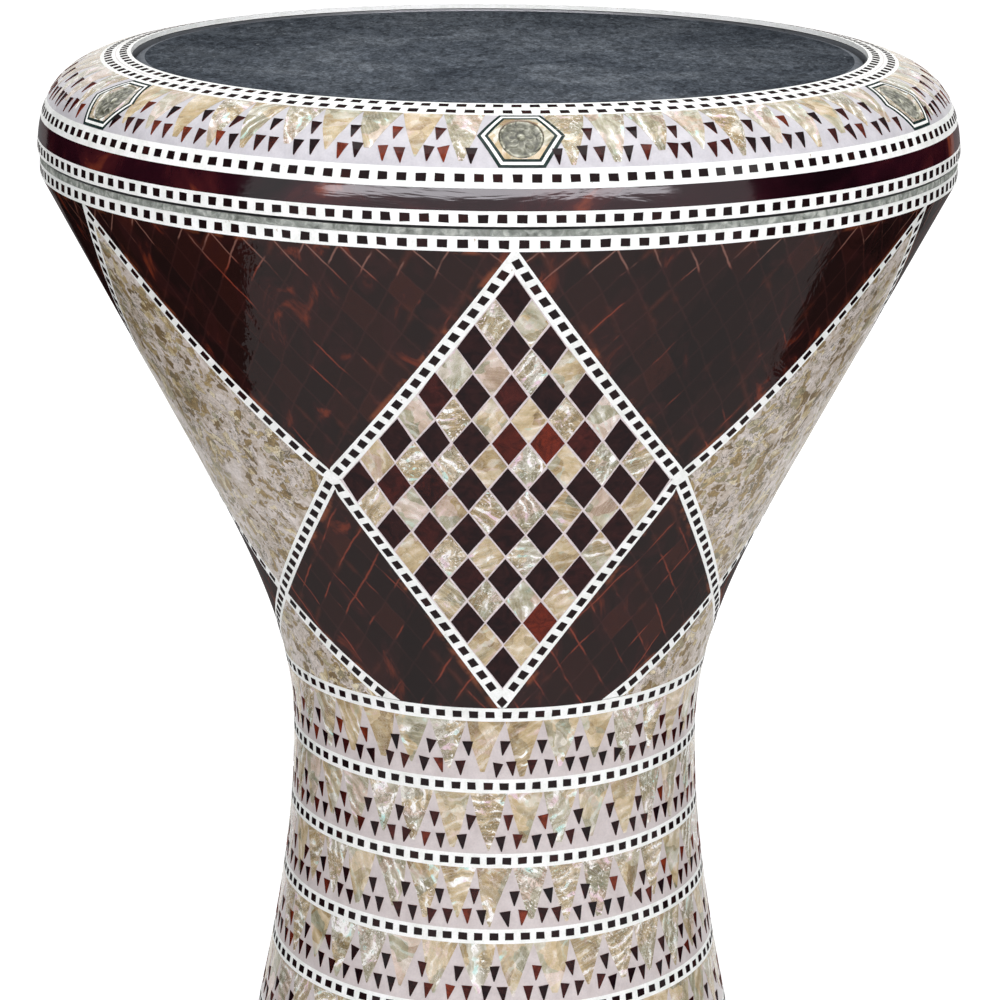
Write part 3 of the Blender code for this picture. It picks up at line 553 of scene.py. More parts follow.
def tortoise_look():
    """Near-black brown shell with a few red blotches, in rhombi whose pale seams show at the top, with
    painted dark reflections.
    """
    look = Look("tortoise", roughness=0.4, specular=0.0, coat=(0.075, 0.03, 2.6))
    across, up, panel = look.split("XYZ", look.attribute("flat", "Vector"))
    wobble = (look.noise(70) - 0.5) * 0.34
    x, y = look.math("DIVIDE", across, RHOMBUS_WIDE), look.math("DIVIDE", up, RHOMBUS_HIGH)
    first, second = x + y + wobble, x - y + wobble
    cell = look.join(look.math("FLOOR", first), look.math("FLOOR", second), panel)
    own = look.node("ShaderNodeTexWhiteNoise", {"Vector": cell}, "Value", noise_dimensions="3D")

    def seam(value, width):
        return look.step(look.off_middle(look.math("FRACT", value)), 0.5 - width, 0.5)

    def seams(width):
        return look.math("MAXIMUM", seam(first, width), seam(second, width))

    edge = look.attribute("shade")
    near_edge = 1 - look.step(edge, 0.0005, 0.016)
    base = look.ramp(
        own, (0.0, (0.0125, 0.0058, 0.0054)), (0.7, (0.0168, 0.0064, 0.0056)),
        (0.92, (0.025, 0.0075, 0.0062)), (1.0, (0.043, 0.0108, 0.0070)),
    )
    cloud = look.noise(62, 5, 1.2, look.stretched(1.0, 1.0, 0.45)) + near_edge * 0.06
    colour = look.mix(look.step(cloud, 0.54, 0.64) * 0.5, base, (0.030, 0.0085, 0.0085))
    colour = look.mix(look.step(cloud, 0.64, 0.76) * 0.9, colour, (0.155, 0.028, 0.012))
    level = look.noise(75, 4) + near_edge * 0.10
    colour = look.mix(seams(0.20) * look.step(level, 0.56, 0.72) * 0.35, colour, (0.11, 0.024, 0.011))
    high = look.step(up, SEAM_WAY - 0.013, SEAM_WAY - 0.005)
    low = 1 - look.step(up, SEAM_WAY - 0.125, SEAM_WAY - 0.095)
    ends = high * 0.12 + low * 0.07
    elsewhere = look.vector("ADD", look.place, (0.31, 0.17, 0.23))
    broken = [
        seam(value, 0.050) * look.step(look.noise(50, 3, vector=where) + ends, 0.575, 0.67)
        for value, where in ((first, look.place), (second, elsewhere))
    ]
    colour = look.mix(seams(0.065) * 0.30, colour, (0.055, 0.018, 0.016))
    tint = look.mix(high * 0.8, (0.34, 0.060, 0.030), (0.34, 0.19, 0.15))
    colour = look.mix(look.math("MAXIMUM", *broken) * 0.55, colour, tint)
    hem = (1 - look.step(edge, 0.0009, 0.0024)) * look.step(look.noise(105, 4), 0.50, 0.64)
    colour = look.mix(hem * 0.5, colour, (0.30, 0.080, 0.030))
    # Painted dark reflections: near-black patches laid into the shell's colour
    dark_reflection_zone = look.vector("MULTIPLY", look.vector("ADD", look.place, (0.05, 0.0, 0.02)), (1.0, 1.0, 0.5))
    dark_reflection_zone = look.step(look.noise(14, 7, 1.6, dark_reflection_zone, 0.6), 0.515, 0.540)
    colour = look.mix(dark_reflection_zone * 0.34, colour, (0.0030, 0.0022, 0.0024))
    waves = look.noise(30, 2) + look.noise(95, 4, 0.5, look.stretched(1.0, 1.0, 0.4), 0.6) * 0.42
    return look.set(colour=colour, coat_normal=look.bump(waves, 0.15, 0.004))


def rim_tortoise_look():
    """Smooth maroon shell with a few glowing clouds."""
    look = Look("tortoise_rim", roughness=0.4, specular=0.0, coat=(0.16, 0.10, 3.0))
    colour = look.ramp(
        look.noise(24, 6, 0.8), (0.36, (0.006, 0.0015, 0.003)), (0.52, (0.020, 0.003, 0.0065)),
        (0.61, (0.050, 0.008, 0.010)), (0.72, (0.30, 0.060, 0.022)),
    )
    streaks = look.noise(45, 4, 0.6, look.stretched(0.5, 0.5, 2.5))
    return look.set(colour=colour, coat_normal=look.bump(streaks, 0.16, 0.002))


def pearl_colours(look, place, shade):
    """Shell colours: gold and tan with grey-green, pink and white facets."""
    bent = look.vector("ADD", place, look.scaled(look.noise(120, 2, vector=place, output="Color"), 0.009))
    facet, other, _ = look.split("Color", look.voronoi(165, "Color", bent))
    tone = look.noise(95, 4, 1.2, place) + (facet - 0.5) * 0.34
    warm = look.ramp(
        tone, (0.22, (0.20, 0.125, 0.050)), (0.42, (0.42, 0.300, 0.140)),
        (0.56, (0.57, 0.44, 0.25)), (0.74, (0.74, 0.62, 0.45)),
    )
    cool = look.ramp(
        tone, (0.22, (0.155, 0.145, 0.085)), (0.42, (0.36, 0.34, 0.225)),
        (0.58, (0.53, 0.505, 0.39)), (0.75, (0.74, 0.71, 0.63)),
    )
    rosy = look.ramp(
        tone, (0.28, (0.36, 0.245, 0.17)), (0.48, (0.61, 0.465, 0.37)), (0.72, (0.78, 0.66, 0.60))
    )
    pick = look.white(shade) + (other - 0.5) * 0.7
    colour = look.mix(look.step(pick, 0.36, 0.58), warm, cool)
    colour = look.mix(look.step(pick, 0.76, 0.94), colour, rosy)
    green = look.step(look.noise(130, 3, 1.0, place), 0.60, 0.74)
    colour = look.mix(green * 0.42, colour, (0.24, 0.40, 0.32))
    pink = look.step(look.noise(105, 3, 1.4, look.vector("ADD", place, (0.3, 0.1, 0.2))), 0.60, 0.74)
    return look.mix(pink * 0.45, colour, (0.62, 0.40, 0.42))


def pearl_look():
    """Mother-of-pearl: some tiles smooth, some banded, some crinkled, with painted white glints and sparkles.
    """
    look = Look("pearl", roughness=0.25, specular=0.2, coat=(0.35, 0.05, 1.25))
    shade = look.attribute("shade")
    spin = {"Vector": look.tile_place(), "Axis": (0.3, 0.8, 0.5), "Angle": look.white(shade) * 6.28}
    turned = look.node("ShaderNodeVectorRotate", spin, rotation_type="AXIS_ANGLE")
    colour = pearl_colours(look, turned, shade)
    kind = look.white(shade + 3.7) + (look.noise(110, 2, vector=turned) - 0.5)
    banded, crinkled = look.step(kind, 0.36, 0.46), look.step(kind, 0.58, 0.70)
    streak = look.wave(95, 7.0, 3.0, 1.4, turned)
    fine = look.wave(330, 3.0, 2.0, 1.5, turned)
    crinkle = look.noise(430, 3, 2.6, turned, 0.6)
    colour = look.mix(look.step(fine, 0.62, 1.0) * (banded * 0.16 + 0.08), colour, (0.84, 0.81, 0.74))
    dim = look.step(1 - streak, 0.62, 1.0) * look.math("MAXIMUM", banded, 0.25)
    colour = look.mix(dim * 0.45, colour, (0.17, 0.135, 0.070))
    pits = look.step(1 - crinkle, 0.52, 0.62) * crinkled
    colour = look.mix(pits * 0.50, colour, (0.17, 0.15, 0.09))
    # Painted highlights: white glints along the streaks and sparkles in crinkled tiles, laid into the colour
    glint_area = look.step(look.noise(95, 3, 0.8, turned), 0.43, 0.56)
    painted_glints = look.step(streak, 0.72, 0.90) * (glint_area * look.math("MAXIMUM", banded, 0.35))
    painted_sparkles = look.step(crinkle, 0.57, 0.65) * look.math("MAXIMUM", crinkled, 0.10)
    # The tint of the painted glints and sparkles: white, pink and teal
    tint = look.ramp(
        look.noise(140, 2, vector=turned), (0.36, (0.80, 0.60, 0.68)), (0.46, (1.0, 0.99, 0.97)),
        (0.56, (1.0, 1.0, 0.96)), (0.66, (0.52, 0.78, 0.72)),
    )
    colour = look.mix(look.math("MAXIMUM", painted_glints, painted_sparkles), colour, tint)
    crack = 1 - look.step(look.off_middle(look.noise(190, 4, 1.6, turned)), 0.006, 0.020)
    colour = look.mix(crack * (crinkled * 0.62 + 0.12), colour, (0.15, 0.12, 0.065))
    return look.set(colour=colour, roughness=look.ramp(streak, (0.2, 0.18), (0.9, 0.36)))


def crushed_look():
    """Tan flakes of shell, thin dark crinkles and pale lilac resin."""
    look = Look("crushed_pearl", roughness=0.4, specular=0.08, coat=(0.25, 0.07, 1.2))

    def bent(scale, reach):
        return look.scaled(look.vector("SUBTRACT", look.noise(scale, output="Color"), (0.5, 0.5, 0.5)), reach)

    swirl = look.vector("ADD", look.vector("ADD", look.place, bent(95, 0.016)), bent(480, 0.0034))
    tone, odd, size = look.split("Color", look.voronoi(255, "Color", swirl))
    cloud = look.noise(150, 7, 1.0, swirl, 0.68)
    ground = look.ramp(
        cloud, (0.32, (0.34, 0.275, 0.19)), (0.44, (0.50, 0.425, 0.35)),
        (0.54, (0.63, 0.565, 0.52)), (0.70, (0.76, 0.70, 0.67)),
    )
    reach = size * 0.34 + 0.31 + (look.noise(38, 4, 0.8) - 0.5) * 1.1
    inside = reach - look.voronoi(255, "Distance", swirl)
    flake = look.ramp(
        tone + (cloud - 0.5) * 2.0, (0.05, (0.165, 0.105, 0.038)), (0.42, (0.31, 0.215, 0.085)),
        (0.70, (0.45, 0.345, 0.165)), (0.97, (0.72, 0.64, 0.46)),
    )
    flake = look.mix(look.step(odd, 0.74, 0.86) * 0.45, flake, (0.24, 0.26, 0.19))
    colour = look.mix(look.step(inside, 0.0, 0.035) * 0.95, ground, flake)
    hem = look.step(inside, -0.05, 0.0) * (1 - look.step(inside, 0.015, 0.07))
    colour = look.mix(hem * 0.52, colour, (0.105, 0.080, 0.040))
    grain = look.noise(760, 5, 1.2, roughness=0.7)
    gritty = look.ramp(grain, (0.34, (0.70, 0.68, 0.64)), (0.50, WHITE), (0.66, (1.2, 1.19, 1.16)))
    colour = look.times(colour, gritty, 0.7)
    wavy = 1 - look.step(look.off_middle(look.noise(120, 5, 2.4, swirl, 0.62)), 0.007, 0.026)
    colour = look.mix(wavy * look.step(look.noise(60), 0.44, 0.56) * 0.85, colour, (0.070, 0.062, 0.040))
    fleck = look.step(look.noise(900), 0.63, 0.70)
    return look.set(colour=look.mix(fleck * 0.45, colour, (0.80, 0.77, 0.69)))


def resin_look(name, low, high):
    look = Look(name, specular=0.12, coat=(0.3, 0.06, 1.25))
    colour = look.ramp(look.noise(220, 4), (0.3, low), (0.7, high))
    grain = look.ramp(look.noise(1600, 2), (0.3, (0.88, 0.88, 0.90)), (0.6, WHITE))
    dots = look.step(look.noise(800, 4), 0.70, 0.74)
    return look.set(colour=look.mix(dots * 0.6, look.times(colour, grain, 0.7), (0.36, 0.32, 0.33)))


def disc_look():
    """Carved grey-green shell, with painted shade in its hollows and painted highlights on its raised
    carving.
    """
    look = Look("carved_shell", coat=(0.5, 0.12, 1.3))
    _, _, height = look.split("XYZ", look.attribute("flat", "Vector"))
    tone = look.ramp(
        look.noise(330, 5, 1.8), (0.38, (0.075, 0.075, 0.050)),
        (0.50, (0.29, 0.29, 0.215)), (0.62, (0.62, 0.62, 0.53)),
    )
    # Painted shade and highlight: dark in the carving's hollows, brighter than its own colour on the raised
    # parts
    high = look.ramp(height, (0.0, (0.30, 0.30, 0.27)), (0.55, (0.95, 0.95, 0.93)), (1.0, (1.6, 1.6, 1.55)))
    return look.set(colour=look.times(tone, high))


def film_look():
    """Charcoal plastic with mottled grain, with painted light: paler in the middle and darker towards its
    edge.
    """
    look = Look("head_film", roughness=0.6, specular=0.0)
    cloud = look.ramp(
        look.noise(26, 7, 0.9, roughness=0.65), (0.30, (0.040, 0.047, 0.058)),
        (0.50, (0.068, 0.078, 0.092)), (0.70, (0.112, 0.125, 0.142)),
    )
    long = look.stretched(1.0, 0.45, 1.0)
    away = look.vector("LENGTH", look.vector("ADD", look.place, (0.0, 0.035, -Z_FILM_TOP)))
    mottle = look.ramp(look.noise(380, 5, 0.4, long, 0.8), (0.36, 0.50), (0.50, 0.98), (0.64, 1.60))
    speck = look.ramp(look.noise(1300), (0.42, 0.72), (0.62, 1.30))
    # Painted light: paler about a point just in front of the middle, darker towards the collar
    painted_light_falloff = look.ramp(look.step(away, 0.03, 0.155), (0.0, 1.12), (1.0, 0.62))
    colour = look.times(look.times(look.times(cloud, mottle), speck), painted_light_falloff)
    dust = look.step(look.noise(520, 5, 0.0, long), 0.64, 0.72)
    colour = look.mix(dust * 0.5, colour, (0.22, 0.24, 0.26))
    smudge = look.step(look.noise(34, 5, 1.5), 0.56, 0.72)
    colour = look.mix(smudge * 0.20, colour, (0.13, 0.145, 0.16))
    rough = look.ramp(look.noise(30, 5), (0.3, 0.5), (0.7, 0.7))
    return look.set(colour=colour, roughness=rough, normal=look.bump(look.noise(2200, 2), 0.25, 0.0003))


def mortar_look():
    look = Look("mortar", roughness=0.8)
    colour = look.ramp(
        look.noise(420, 5, 0.8), (0.3, (0.11, 0.12, 0.105)),
        (0.5, (0.27, 0.29, 0.26)), (0.7, (0.56, 0.58, 0.53)),
    )
    return look.set(colour=colour, normal=look.bump(look.noise(700, 4), 0.7, 0.0006))


def cast_look():
    """Unpolished cast aluminium."""
    look = Look("cast_aluminium", roughness=0.5, metallic=0.85)
    colour = look.ramp(look.noise(45, 5), (0.3, (0.36, 0.36, 0.36)), (0.7, (0.52, 0.52, 0.53)))
    colour = look.mix(look.step(look.noise(900, 4), 0.60, 0.70) * 0.45, colour, (0.20, 0.20, 0.20))
    rough = look.ramp(look.noise(160, 4), (0.3, 0.42), (0.7, 0.62))
    height = look.noise(700, 4) + look.noise(90) * 1.5
    return look.set(colour=colour, roughness=rough, normal=look.bump(height, 0.5, 0.0005))


def turned_metal_look():
    """Aluminium with the fine rings that a lathe leaves."""
    look = Look("turned_aluminium", roughness=0.3, metallic=0.9)
    x, y, z = look.split("XYZ", look.place)
    out = look.math("SQRT", look.math("POWER", x, 2.0) + look.math("POWER", y, 2.0))
    marks = look.noise(130, 3, vector=look.join(out * 30.0, z * 30.0, 0.0))
    colour = look.ramp(marks, (0.3, (0.44, 0.44, 0.45)), (0.7, (0.60, 0.60, 0.61)))
    colour = look.mix(look.step(look.noise(200, 5), 0.62, 0.75), colour, (0.30, 0.30, 0.30))
    return look.set(colour=colour, normal=look.bump(marks, 0.25, 0.0002))


def steel_look():
    look = Look("screw_steel", roughness=0.3, metallic=1.0)
    colour = look.ramp(look.noise(300, 4), (0.35, (0.16, 0.16, 0.17)), (0.65, (0.30, 0.30, 0.32)))
    return look.set(colour=colour, roughness=look.ramp(look.noise(500), (0.3, 0.22), (0.7, 0.42)))


# The tortoise's rhombi, and the way up the wall to the bowl's top
RHOMBUS_WIDE, RHOMBUS_HIGH = 0.0103, 0.0150
SEAM_WAY = float(np.interp(Z_BOWL_TOP, SLANT_Z, SLANT))

CREAM, DARK, RED = cream_look(), dark_look(), red_tile_look()
CHECKER_DARK = checker_dark_look()
TORTOISE, TORTOISE_RIM = tortoise_look(), rim_tortoise_look()
PEARL, CRUSHED, DISC = pearl_look(), crushed_look(), disc_look()
GROUT = plain_look(
    "pink_grout", 600, 3, (0.3, (0.60, 0.52, 0.52)), (0.7, (0.80, 0.73, 0.73)),
    roughness=0.4, specular=0.2, coat=(0.5, 0.08, 1.3),
)
LINE = plain_look(
    "green_black_line", 500, 3, (0.35, (0.008, 0.017, 0.015)), (0.7, (0.028, 0.050, 0.045)),
    specular=0.0, coat=(0.05, 0.06, 2.6),
)
MARGIN = plain_look(
    "film_margin", 300, 4, (0.35, (0.060, 0.070, 0.084)), (0.65, (0.105, 0.118, 0.138)),
    roughness=0.5, specular=0.05,
)
RESIN = resin_look("inlay_resin", (0.575, 0.515, 0.50), (0.68, 0.62, 0.605))
RESIN_RIM = resin_look("rim_resin", (0.52, 0.505, 0.53), (0.62, 0.605, 0.63))
FILM, MORTAR, CAST = film_look(), mortar_look(), cast_look()
TURNED, STEEL = turned_metal_look(), steel_look()


# Strips and tooth rows


def turned_strip(bag, surface, v_high, v_low, count, phase, rows=1):
    """A cream band with squares along its middle, or along the middle of each of its rows."""
    turned_band(bag, surface, np.linspace(v_high, v_low, 2 + 2 * rows), STRIP_LIFT, CREAM)
    for row in range(rows):
        middle = v_high + (v_low - v_high) * (row + 0.5) / rows
        for i in range(count):
            azimuth = 2 * math.pi * (i + phase + 0.5 * row + rng.normal(0, 0.012)) / count
            square(bag, surface, azimuth, middle)


def strip_piece(piece, body, surface, v_high, v_low, count, phase):
    bag = Bag()
    turned_strip(bag, surface, v_high, v_low, count, phase)
    bag.build(piece, "tiles", body)


TRIANGLE_WIDE, TRIANGLE_HIGH = 0.0033, 0.0048


def dark_triangle(bag, surface, azimuth, v):
    """A small triangle that points down, cut by hand."""
    corners = []
    lean = rng.normal(0, 0.12)
    tip = rng.normal(0, 0.08)
    for x, y in ((-0.5, -0.45), (tip - 0.05, 0.55), (tip + 0.05, 0.55), (0.5, -0.45)):
        x = x * TRIANGLE_WIDE * rng.uniform(0.9, 1.1)
        y = y * TRIANGLE_HIGH * rng.uniform(0.93, 1.07)
        right = x * math.cos(lean) - y * math.sin(lean)
        down = x * math.sin(lean) + y * math.cos(lean)
        corners.append(moved(surface, azimuth, v, right, down))
    tile(bag, surface, corners, RED, TRIANGLE_LIFT, 5, 3)


def tooth(bag, surface, azimuth, v_high, v_low, wide):
    """A pearl tooth: broad at the top, with a blunt tip and slightly uneven sides."""
    length = rng.uniform(0.74, 0.96)
    v_tip = v_high + (v_low - v_high) * length
    half = wide / 2 / surface.scale(v_high)[0]
    tip = rng.uniform(0.03, 0.16) * half
    bent = azimuth + rng.normal(0, 0.10) * half
    knee = rng.uniform(0.46, 0.62)
    v_knee = v_high + (v_tip - v_high) * knee
    at_knee = half * (1 - knee) * rng.uniform(1.0, 1.25) + tip * knee
    left_knee, right_knee = (bent - at_knee, v_knee), (bent + at_knee, v_knee)
    upper = [(azimuth - half, v_high), left_knee, right_knee, (azimuth + half, v_high)]
    lower = [left_knee, (bent - tip, v_tip), (bent + tip, v_tip), right_knee]
    patch(bag, surface, np.concatenate([bilinear(upper, 4, 6), bilinear(lower, 4, 6)[1:]]), PEARL)


def tooth_row(bag, surface, v_high, v_low, triads, teeth, wide):
    """Pearl teeth from the upper edge, and three small triangles in the ground between each two."""
    for azimuth in teeth:
        tooth(bag, surface, azimuth, v_high, v_low, wide)
    depth = v_low - v_high
    across = surface.scale(v_low)[0]
    for azimuth in triads:
        azimuth = azimuth + rng.normal(0, 0.0003) / across
        dark_triangle(bag, surface, azimuth, v_high + 0.47 * depth + rng.normal(0, 0.0003))
        for side in (-1, 1):
            shift = side * rng.uniform(0.00215, 0.0029) / across
            if rng.random() < 0.97:
                dark_triangle(bag, surface, azimuth + shift, v_high + 0.80 * depth + rng.normal(0, 0.0003))


# Rim: where its bands begin, as ways down from the lip


way_edge = rim.way_at_radius(OPENING + RIM_EDGE_WIDTH)
z_mid = Z_TOP - RIM_TOOTH_DROP
way_mid = rim.way_at_height(z_mid)
way_tortoise = rim.way_at_height(z_mid - RIM_MID_HEIGHT)
way_low = rim.way_at_height(z_mid - RIM_MID_HEIGHT - RIM_TORTOISE_HEIGHT)

# The tooth band: the teeth's breadth, the degrees from a medallion to its first tooth, its first
# triad and from one to the next, and the hollow for the medallion's disc
RIM_TOOTH = 0.0112
FIRST_TOOTH, FIRST_TRIAD, TOOTH_PITCH = 6.3, 8.9, 5.27
HOLLOW_RADIUS, HOLLOW_EDGE, HOLLOW_DEPTH = 0.0088, 0.0014, 0.0009


def make_rim_bands():
    bag = Bag()
    turned_strip(bag, rim, 0.0, way_edge, 145, 0.2, rows=2)
    turned_band(bag, rim, np.linspace(0.49, 0.51, 2) * way_edge, TILE_LIFT, GROUT)
    bag.build("rim_edge_strip", "tiles", "rim")

    bag = Bag()
    v, segments = np.linspace(way_edge, way_mid, 24), 720
    middle = (way_edge + way_mid) / 2
    off = (round_angles(segments) - MEDALLION_TURN + CELL) % (2 * CELL) - CELL
    away = np.hypot(off[None, :] * rim.scale(middle)[0], v[:, None] - middle)
    sink = np.clip((HOLLOW_RADIUS - away) / HOLLOW_EDGE, 0, 1)
    turned_band(bag, rim, v, BASE - HOLLOW_DEPTH * sink, RESIN_RIM, segments)
    for i in range(6):
        centre = 2 * CELL * i
        teeth, triads = [
            [centre + s * math.radians(first + TOOTH_PITCH * k) for k in range(count) for s in (-1, 1)]
            for first, count in ((FIRST_TOOTH, 5), (FIRST_TRIAD, 4))
        ]
        tooth_row(bag, rim, way_edge, way_mid, triads + [centre + CELL], teeth, RIM_TOOTH)
        for side in (-1, 1):
            place = centre + side * math.radians(rng.uniform(4.6, 5.0))
            dark_triangle(bag, rim, place, way_edge + 0.82 * (way_mid - way_edge))
    bag.build("rim_tooth_band", "tiles", "rim")

    strip_piece("rim_mid_strip", "rim", rim, way_mid, way_tortoise, 168, 0.1)
    bag = Bag()
    turned_band(bag, rim, np.linspace(way_tortoise, way_low, 6), BASE + 0.00004, TORTOISE_RIM)
    bag.build("rim_tortoise_band", "skin", "rim")
    strip_piece("rim_low_strip", "rim", rim, way_low, rim.length, 168, 0.35)


def hexagon(reach, cut):
    """Corners of a hexagon with its points to left and right, cut off above and below."""
    sixty = math.radians(60)
    cut = min(cut, reach * math.sin(sixty))
    lean = reach - cut / math.tan(sixty)
    return np.array([(reach, 0), (lean, cut), (-lean, cut), (-reach, 0), (-lean, -cut), (lean, -cut)])


MEDALLION_REACH = 0.0120
# Insets of the borders' edges from the hexagon's points, and from where it is cut off
BORDERS = ((0.0, 0.0), (0.00105, 0.0), (0.00205, 0.0), (0.00300, 0.0007))
DISC_WIDE, DISC_HIGH = 0.0062, 0.0076
DISC_DEPTH, DISC_RELIEF = 0.00060, 0.00056


def carving(rho, angle):
    """Height of the rosette, from 0 to 1, by the distance from its middle and the angle."""
    petal = np.abs(np.cos(4 * angle)) ** 0.7
    leaf = np.clip(1 - np.abs(rho - 0.30 - 0.30 * petal) / 0.16, 0, 1)
    boss = np.clip(1 - (rho / 0.20) ** 2, 0, 1)
    edge = np.clip((1 - rho) / 0.06, 0, 1) * np.clip(1 - np.abs(rho - 0.90) / 0.08, 0, 1)
    height = 0.35 * leaf + 0.8 * boss + 0.75 * edge + 0.10 * np.sin(11 * angle + 9 * rho) * rho
    return np.clip(height, 0, 1) * (rho < 0.999)


def make_medallion(index):
    """A pearl hexagon with three bordering lines and a carved disc of a plain eight-petal rosette."""
    centre = 2 * CELL * index + MEDALLION_TURN
    middle = (way_edge + way_mid) / 2
    cut = (way_mid - way_edge) / 2 - 0.00015
    across = rim.scale(middle)[0]
    around = np.linspace(0, 6, 48, endpoint=False)
    side = around.astype(int)
    share = (around - side)[:, None]
    bag = Bag()

    def put(x, y, lift):
        return rim.place(centre + x / across, middle + y, lift)[:, ::-1]

    def outline(inset, trim):
        corners = hexagon(MEDALLION_REACH - inset, cut - trim)
        return corners[side] * (1 - share) + corners[(side + 1) % 6] * share

    def border(outer, inner, material, rows):
        depth = np.linspace(0, 1, rows)[:, None, None]
        rings = outer * (1 - depth) + inner * depth
        front, back = [put(rings[..., 0], rings[..., 1], lift) for lift in (TILE_LIFT, -TILE)]
        bag.tube(front, back, material, rng.random())

    outlines = [outline(*insets) for insets in BORDERS]
    for outer, inner, material in zip(outlines, outlines[1:], (LINE, CREAM, LINE)):
        border(outer, inner, material, 2)
    inner = outlines[-1]
    angle = np.arctan2(inner[:, 1] / DISC_HIGH, inner[:, 0] / DISC_WIDE)
    border(inner, np.stack([DISC_WIDE * np.cos(angle), DISC_HIGH * np.sin(angle)], 1), PEARL, 7)

    rho = np.linspace(1.0, 0.0, 26)[:, None]
    angle = np.linspace(0, 2 * math.pi, 96, endpoint=False)[None, :]
    height = carving(rho, angle)
    x, y = DISC_WIDE * rho * np.cos(angle), DISC_HIGH * rho * np.sin(angle)
    front, back = put(x, y, -DISC_DEPTH + DISC_RELIEF * height), put(x, y, -TILE)
    bag.grid(front, DISC, 0.5, np.stack([x, y, height], -1)[:, ::-1], loop=True)
    bag.grid(np.stack([back[0], front[0]]), DISC, loop=True)
    bag.grid(back[::-1], DISC, loop=True)
    bag.build(f"rim_medallion_{index + 1}", "inlay", "rim")


# Bowl and foot patterns


class Path:
    """The straightest line on the wall that turns by a given angle between two heights.

    It goes on a little beyond both ends, to z_first and z_last.
    """

    def __init__(self, z_high, z_low, turn, z_first=None, z_last=None):
        z_first = z_high if z_first is None else z_first
        z_last = z_low if z_last is None else z_last
        self.z = np.linspace(z_first, z_last, 801)
        middle = (self.z[1:] + self.z[:-1]) / 2
        radius, slope = wall_radius(middle), np.hypot(1, wall_slope(middle))
        drop = (z_first - z_last) / 800
        inside = (middle < z_high) & (middle > z_low)

        def rates(grip):
            return grip * slope / (radius * np.sqrt(radius**2 - grip**2)) * drop

        low, high = 0.0, float(radius.min()) * 0.999
        for _ in range(50):
            grip = (low + high) / 2
            low, high = (grip, high) if rates(grip)[inside].sum() < turn else (low, grip)
        self.grip = grip
        self.turns = np.concatenate([[0], np.cumsum(rates(grip))])
        step = slope * drop * radius / np.sqrt(radius**2 - grip**2)
        self.ways = np.concatenate([[0], np.cumsum(step)])
        self.turns -= np.interp(-z_high, -self.z, self.turns)
        self.ways -= np.interp(-z_high, -self.z, self.ways)

    def turn(self, z):
        return np.interp(-np.asarray(z, float), -self.z, self.turns)

    def half(self, z, width):
        """Half of a width across the path, as an angle about the axis."""
        radius = wall_radius(z)
        return width / (radius * np.sqrt(np.maximum(1 - (self.grip / radius) ** 2, 1e-4)))

    def at_way(self, way):
        z = float(np.interp(way, self.ways, self.z))
        return z, float(self.turn(z)), math.asin(self.grip / float(wall_radius(z)))

    def z_of_turn(self, turn):
        return float(np.interp(turn, self.turns, self.z))


def solve(function, low, high):
    """Where a function of one sign change crosses zero."""
    rising = function(high) > function(low)
    for _ in range(50):
        middle = (low + high) / 2
        if (function(middle) > 0) == rising:
            high = middle
        else:
            low = middle
    return (low + high) / 2


def spans(z_high, z_middle, z_low, above, below):
    """Heights from top to bottom by way of a middle one."""
    return np.concatenate([np.linspace(z_high, z_middle, above), np.linspace(z_middle, z_low, below)[1:]])


def region(bag, heights, left, right, material, columns, panel=0.5, centre=0.0):
    """A smooth field between two lines of azimuth over height. Its tile number is the way to its edge."""
    a, b = left(heights), right(heights)
    b = np.maximum(a + 1e-5, b)
    share = np.linspace(0, 1, columns + 1)[None, :]
    azimuth = a[:, None] * (1 - share) + b[:, None] * share
    height = np.broadcast_to(heights[:, None], azimuth.shape)
    radius = wall_radius(height)
    slant = np.interp(height, SLANT_Z, SLANT)
    flat = np.stack([(azimuth - centre) * radius, slant, np.full_like(azimuth, panel * 100)], -1)
    sides = np.minimum(azimuth - a[:, None], b[:, None] - azimuth) * radius * 0.85
    ends = np.abs(slant - (slant[0, 0] if material is TORTOISE else 0))
    edge = np.minimum(sides, ends + 0.0006)
    bag.slab(wall.place(azimuth, height, BASE), wall.place(azimuth, height, -TILE), material, edge, flat)


FRAME_SQUARE_WIDE, FRAME_SQUARE_HIGH = 0.0024, 0.0030


def strip_on_path(bag, path, place, start, stop, mirror=False, last=CELL, first=0.0):
    """Squares along a frame strip, between two turns of its path. place gives a turn's azimuth."""
    ways = [float(np.interp(turn, path.turns, path.ways)) for turn in (first, last)]
    length = ways[1] - ways[0] - start - stop
    count = max(1, round(length / SQUARE_PITCH))
    for i in range(count):
        way = ways[0] + start + length * (i + 0.5) / count + rng.normal(0, 0.00008)
        z, turn, lean = path.at_way(way)
        lean = -lean if mirror else lean
        square(bag, wall, place(turn), z, FRAME_SQUARE_WIDE, FRAME_SQUARE_HIGH, lean)


KNOT_HIGH = 0.0042


def rhombus(bag, azimuth, z, wide):
    """A dark rhombus where strips meet."""
    steps = ((0, -KNOT_HIGH / 2), (-wide / 2, 0), (0, KNOT_HIGH / 2), (wide / 2, 0))
    tile(bag, wall, [moved(wall, azimuth, z, right, down) for right, down in steps], DARK)


